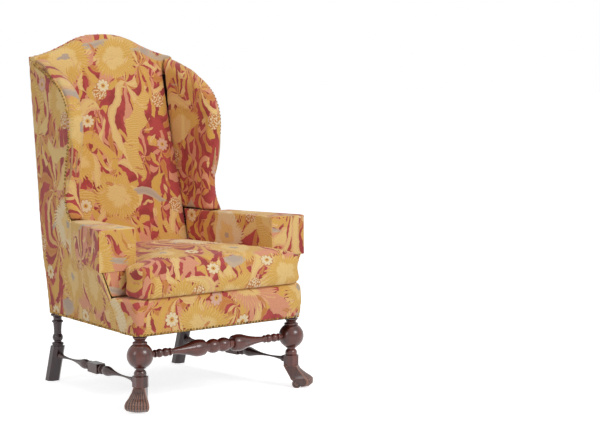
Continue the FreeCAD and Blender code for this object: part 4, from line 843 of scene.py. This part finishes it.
pair("wing", "wing_pad", 0.007, 0.006, wing_map, ((0.9, 0.12), (0.43, 0.81)), "wing_fabric", 0.7,
     wraps="wing_post", shaping=clear_of_cap)
pair("arm", "arm_pad", 0.007, 0.002, arm_map, ((0.36, 0.72), (0.71, 0.33)), "arm_fabric", 0.6)
pair("cap", "arm_cap", 0.004, 0, cap_map, ((0.15, 0.95), (0.64, 0.48)), "cap_fabric", 0.3, levels=0, rounds=3,
     shaping=cap_hem)
pair("side", "outside_panel", 0.005, 0, panel_map, ((0.51, 0.07), (0.05, 0.77)), "side_fabric", 0.3, levels=0)

# %% [markdown]
# The outside back is cloth over a flat frame, so it isn't stuffed. The cloth band round the seat's front is:
# it is held at its nailed bottom edge and at its top, and swells between them. Its map runs round the corner.

# %% Outside back
FINE_NET = 0.005
outside = node_copy("outside_back_cover", "outside_back_panel")
remeshed(outside, FINE_NET)
mapped(outside, lambda point, normal: (-point.x, point.z))
finished(outside, cover_material("tapestry_outside_back", (0.3, 0.4)), "chair", "outside_back_fabric",
         "outside_back_panel", fill=0.3, levels=0)

# %% Seat front
APRON_NET = 0.006
NAILED_EDGE = 0.02
apron = node_copy("seat_front_cover", "seat_apron")
apron_low, apron_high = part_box("seat_apron")
remeshed(apron, APRON_NET)


def apron_edge(point):
    at_edge = point.z < apron_low.z + NAILED_EDGE or point.z > apron_high.z - APRON_NET
    return 1.0 if at_edge else 0.0


def front_map(point, normal):
    side = 1 if point.x > 0 else -1
    return point.x + side * (point.y - apron_low.y), point.z


stuffed(apron, 0.006, apron_edge)
mapped(apron, front_map)
finished(apron, cover_material("tapestry_front", (0.83, 0.29)), "chair", "apron_fabric",
         "seat_apron", fill=0.6)

# %% [markdown]
# The brush feet are carved into reeds. Their finish has painted shade in the grooves and a painted highlight
# on the ridges. The difference between the carved surface and a smoothed one tells grooves from ridges: it is
# kept as an attribute for the painted shade and highlight, and it also cuts the grooves a little deeper.

# %% Carved feet
GROOVE = 0.0007
CARVING_NET = 0.0013
CARVING_ROUNDS = 9


def carved(name, source):
    """The foot with its grooves cut deeper, and the attribute hollow: 1 in a groove, 0 on a ridge."""
    foot = node_copy(name, source)
    remeshed(foot, CARVING_NET)
    points = foot.data.vertices
    start = [vertex.co.copy() for vertex in points]
    normals = [vertex.normal.copy() for vertex in points]
    smoothed(foot, CARVING_ROUNDS)
    depths = [(vertex.co - old).dot(normal) for vertex, old, normal in zip(points, start, normals)]
    for vertex, old, normal, depth in zip(points, start, normals, depths):
        cut = max(-GROOVE, min(GROOVE, depth))
        vertex.co = old - normal * cut
    hollow = foot.data.attributes.new("hollow", "FLOAT", "POINT")
    hollow.data.foreach_set("value", [max(0.0, min(1.0, 0.5 + depth / GROOVE)) for depth in depths])
    foot.data.polygons.foreach_set("use_smooth", [True] * len(foot.data.polygons))
    foot.data.materials.clear()
    foot.data.materials.append(polish_foot)
    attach(foot, "chair")
    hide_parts(source)
    print(name, len(foot.data.polygons), "faces, grooves from", min(depths), "to", max(depths))


for side in ("left", "right"):
    carved("carved_foot_" + side, "front_foot_" + side)

# %% Polish of the feet, with painted shade in the grooves and a painted highlight on the ridges
# A pale tone painted on the ridges as a highlight, and a near black painted in the grooves as shade
PAINTED_RIDGE_HIGHLIGHT = tint("8a5c48")
PAINTED_GROOVE_SHADE = tint("120606")
foot_tree = Graph(polish_foot.node_tree)
foot_shader = polish_foot.node_tree.nodes["Principled BSDF"]
polish = foot_shader.inputs["Base Color"].links[0].from_socket
groove = foot_tree.node("ShaderNodeAttribute", attribute_name="hollow").outputs["Fac"]
# Painted highlight on the ridges, then painted shade in the grooves, both read from the hollow attribute
ridge_highlight = foot_tree.mix(foot_tree.between(groove, 0.5, 0.15), polish, PAINTED_RIDGE_HIGHLIGHT)
polish_with_painted_shade = foot_tree.mix(foot_tree.between(groove, 0.52, 0.8), ridge_highlight, PAINTED_GROOVE_SHADE)
foot_tree.put(foot_shader.inputs["Base Color"], polish_with_painted_shade)
print("feet polished")

# %% [markdown]
# Under the cushion lie the deck and its webbing. They are seen from below or when the cushion is lifted.

# %% Deck, webbing and dust cover
deck = node_copy("seat_deck", "seat_platform")
remeshed(deck, LARGE_NET)
finished(deck, deck_cloth, "chair", "deck_cloth", "seat_platform", fill=0.6, levels=0)
for name in ("seat_webbing", "back_webbing"):
    strips = node_copy(name + "_strips", name)
    strips.data.materials.clear()
    strips.data.materials.append(jute)
    edge = strips.modifiers.new("soft_edge", "BEVEL")
    edge.width = 0.0006
    edge.segments = 2
    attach(strips, "chair")
    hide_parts(name)
dust = node_copy("dust_sheet", "dust_cover")
dust.data.materials.clear()
dust.data.materials.append(dust_cloth)
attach(dust, "chair")
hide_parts("dust_cover")

# %% [markdown]
# The stage: a pale floor, soft light from large lamps, and a white surround. The lens, the place and the
# tilt of the camera were worked out from the chair's own corners.

# %% Camera
LENS = 103.26
CAMERA_PLACE = (-3.4376, -5.0521, 1.204)
CAMERA_PITCH = 84.28
CAMERA_TURN = -38.86
camera_data = bpy.data.cameras.new("camera")
camera_data.sensor_width = 36
camera_data.lens = LENS
camera = bpy.data.objects.new("camera", camera_data)
camera.location = CAMERA_PLACE
camera.rotation_euler = (math.radians(CAMERA_PITCH), 0, math.radians(CAMERA_TURN))
scene.collection.objects.link(camera)
scene.camera = camera
print("camera with a lens of", LENS, "mm")

# %% [markdown]
# Three large lamps give soft light: the key in front of the chair, a weaker one at its side and one above.
# They are set so that a colour renders about as it is written.


# %% Lamps
def lamp(name, place, size, power, aim=(0, 0, 0.5)):
    data = bpy.data.lights.new(name, "AREA")
    data.shape = "RECTANGLE"
    data.size, data.size_y = size
    data.energy = power
    thing = bpy.data.objects.new(name, data)
    thing.location = place
    thing.rotation_euler = (Vector(aim) - Vector(place)).to_track_quat("-Z", "Y").to_euler()
    scene.collection.objects.link(thing)


lamp("key", (0.9, -4.4, 3.0), (2.0, 1.6), 107)
lamp("left", (-4.6, -0.8, 2.2), (1.4, 1.8), 34)
lamp("top", (0.3, 0.2, 4.0), (3.0, 3.0), 31)
print("three lamps lit")

# %% [markdown]
# The floor is white paper. It glows a little for the camera and for reflections, never for the light on the
# chair, so it fades into the white surround and still keeps the chair's shadow.

# %% Floor
FLOOR_HALF = 30
FLOOR_GLOW = 0.73
shape = bmesh.new()
bmesh.ops.create_grid(shape, x_segments=1, y_segments=1, size=FLOOR_HALF)
floor_mesh = bpy.data.meshes.new("floor")
shape.to_mesh(floor_mesh)
shape.free()
floor = bpy.data.objects.new("floor", floor_mesh)
scene.collection.objects.link(floor)
paper = bpy.data.materials.new("paper")
paper.use_nodes = True
graph = Graph(paper.node_tree)
shader = paper.node_tree.nodes["Principled BSDF"]
shader.inputs["Base Color"].default_value = (0.86, 0.86, 0.87, 1)
shader.inputs["Roughness"].default_value = 0.9
shader.inputs["Specular IOR Level"].default_value = 0.1
shader.inputs["Emission Color"].default_value = (1, 1, 1, 1)
rays = graph.node("ShaderNodeLightPath").outputs
seen = graph.calc("MAXIMUM", rays["Is Camera Ray"], rays["Is Glossy Ray"])
seen = graph.calc("MAXIMUM", seen, rays["Is Transmission Ray"])
graph.put(shader.inputs["Emission Strength"], graph.calc("MULTIPLY", seen, FLOOR_GLOW))
floor_mesh.materials.append(paper)
print("floor laid")

# %% Surround
DIM = 0.32
world = bpy.data.worlds.new("surround")
scene.world = world
world.use_nodes = True
graph = Graph(world.node_tree)
backdrop = world.node_tree.nodes["Background"]
rays = graph.node("ShaderNodeLightPath").outputs
seen = graph.calc("MAXIMUM", rays["Is Camera Ray"], rays["Is Glossy Ray"])
seen = graph.calc("MAXIMUM", seen, rays["Is Transmission Ray"])
backdrop.inputs["Color"].default_value = (1, 1, 1, 1)
graph.put(backdrop.inputs["Strength"], graph.calc("MULTIPLY_ADD", seen, 1 - DIM, DIM))
scene.view_settings.view_transform = "Standard"
print("white surround")
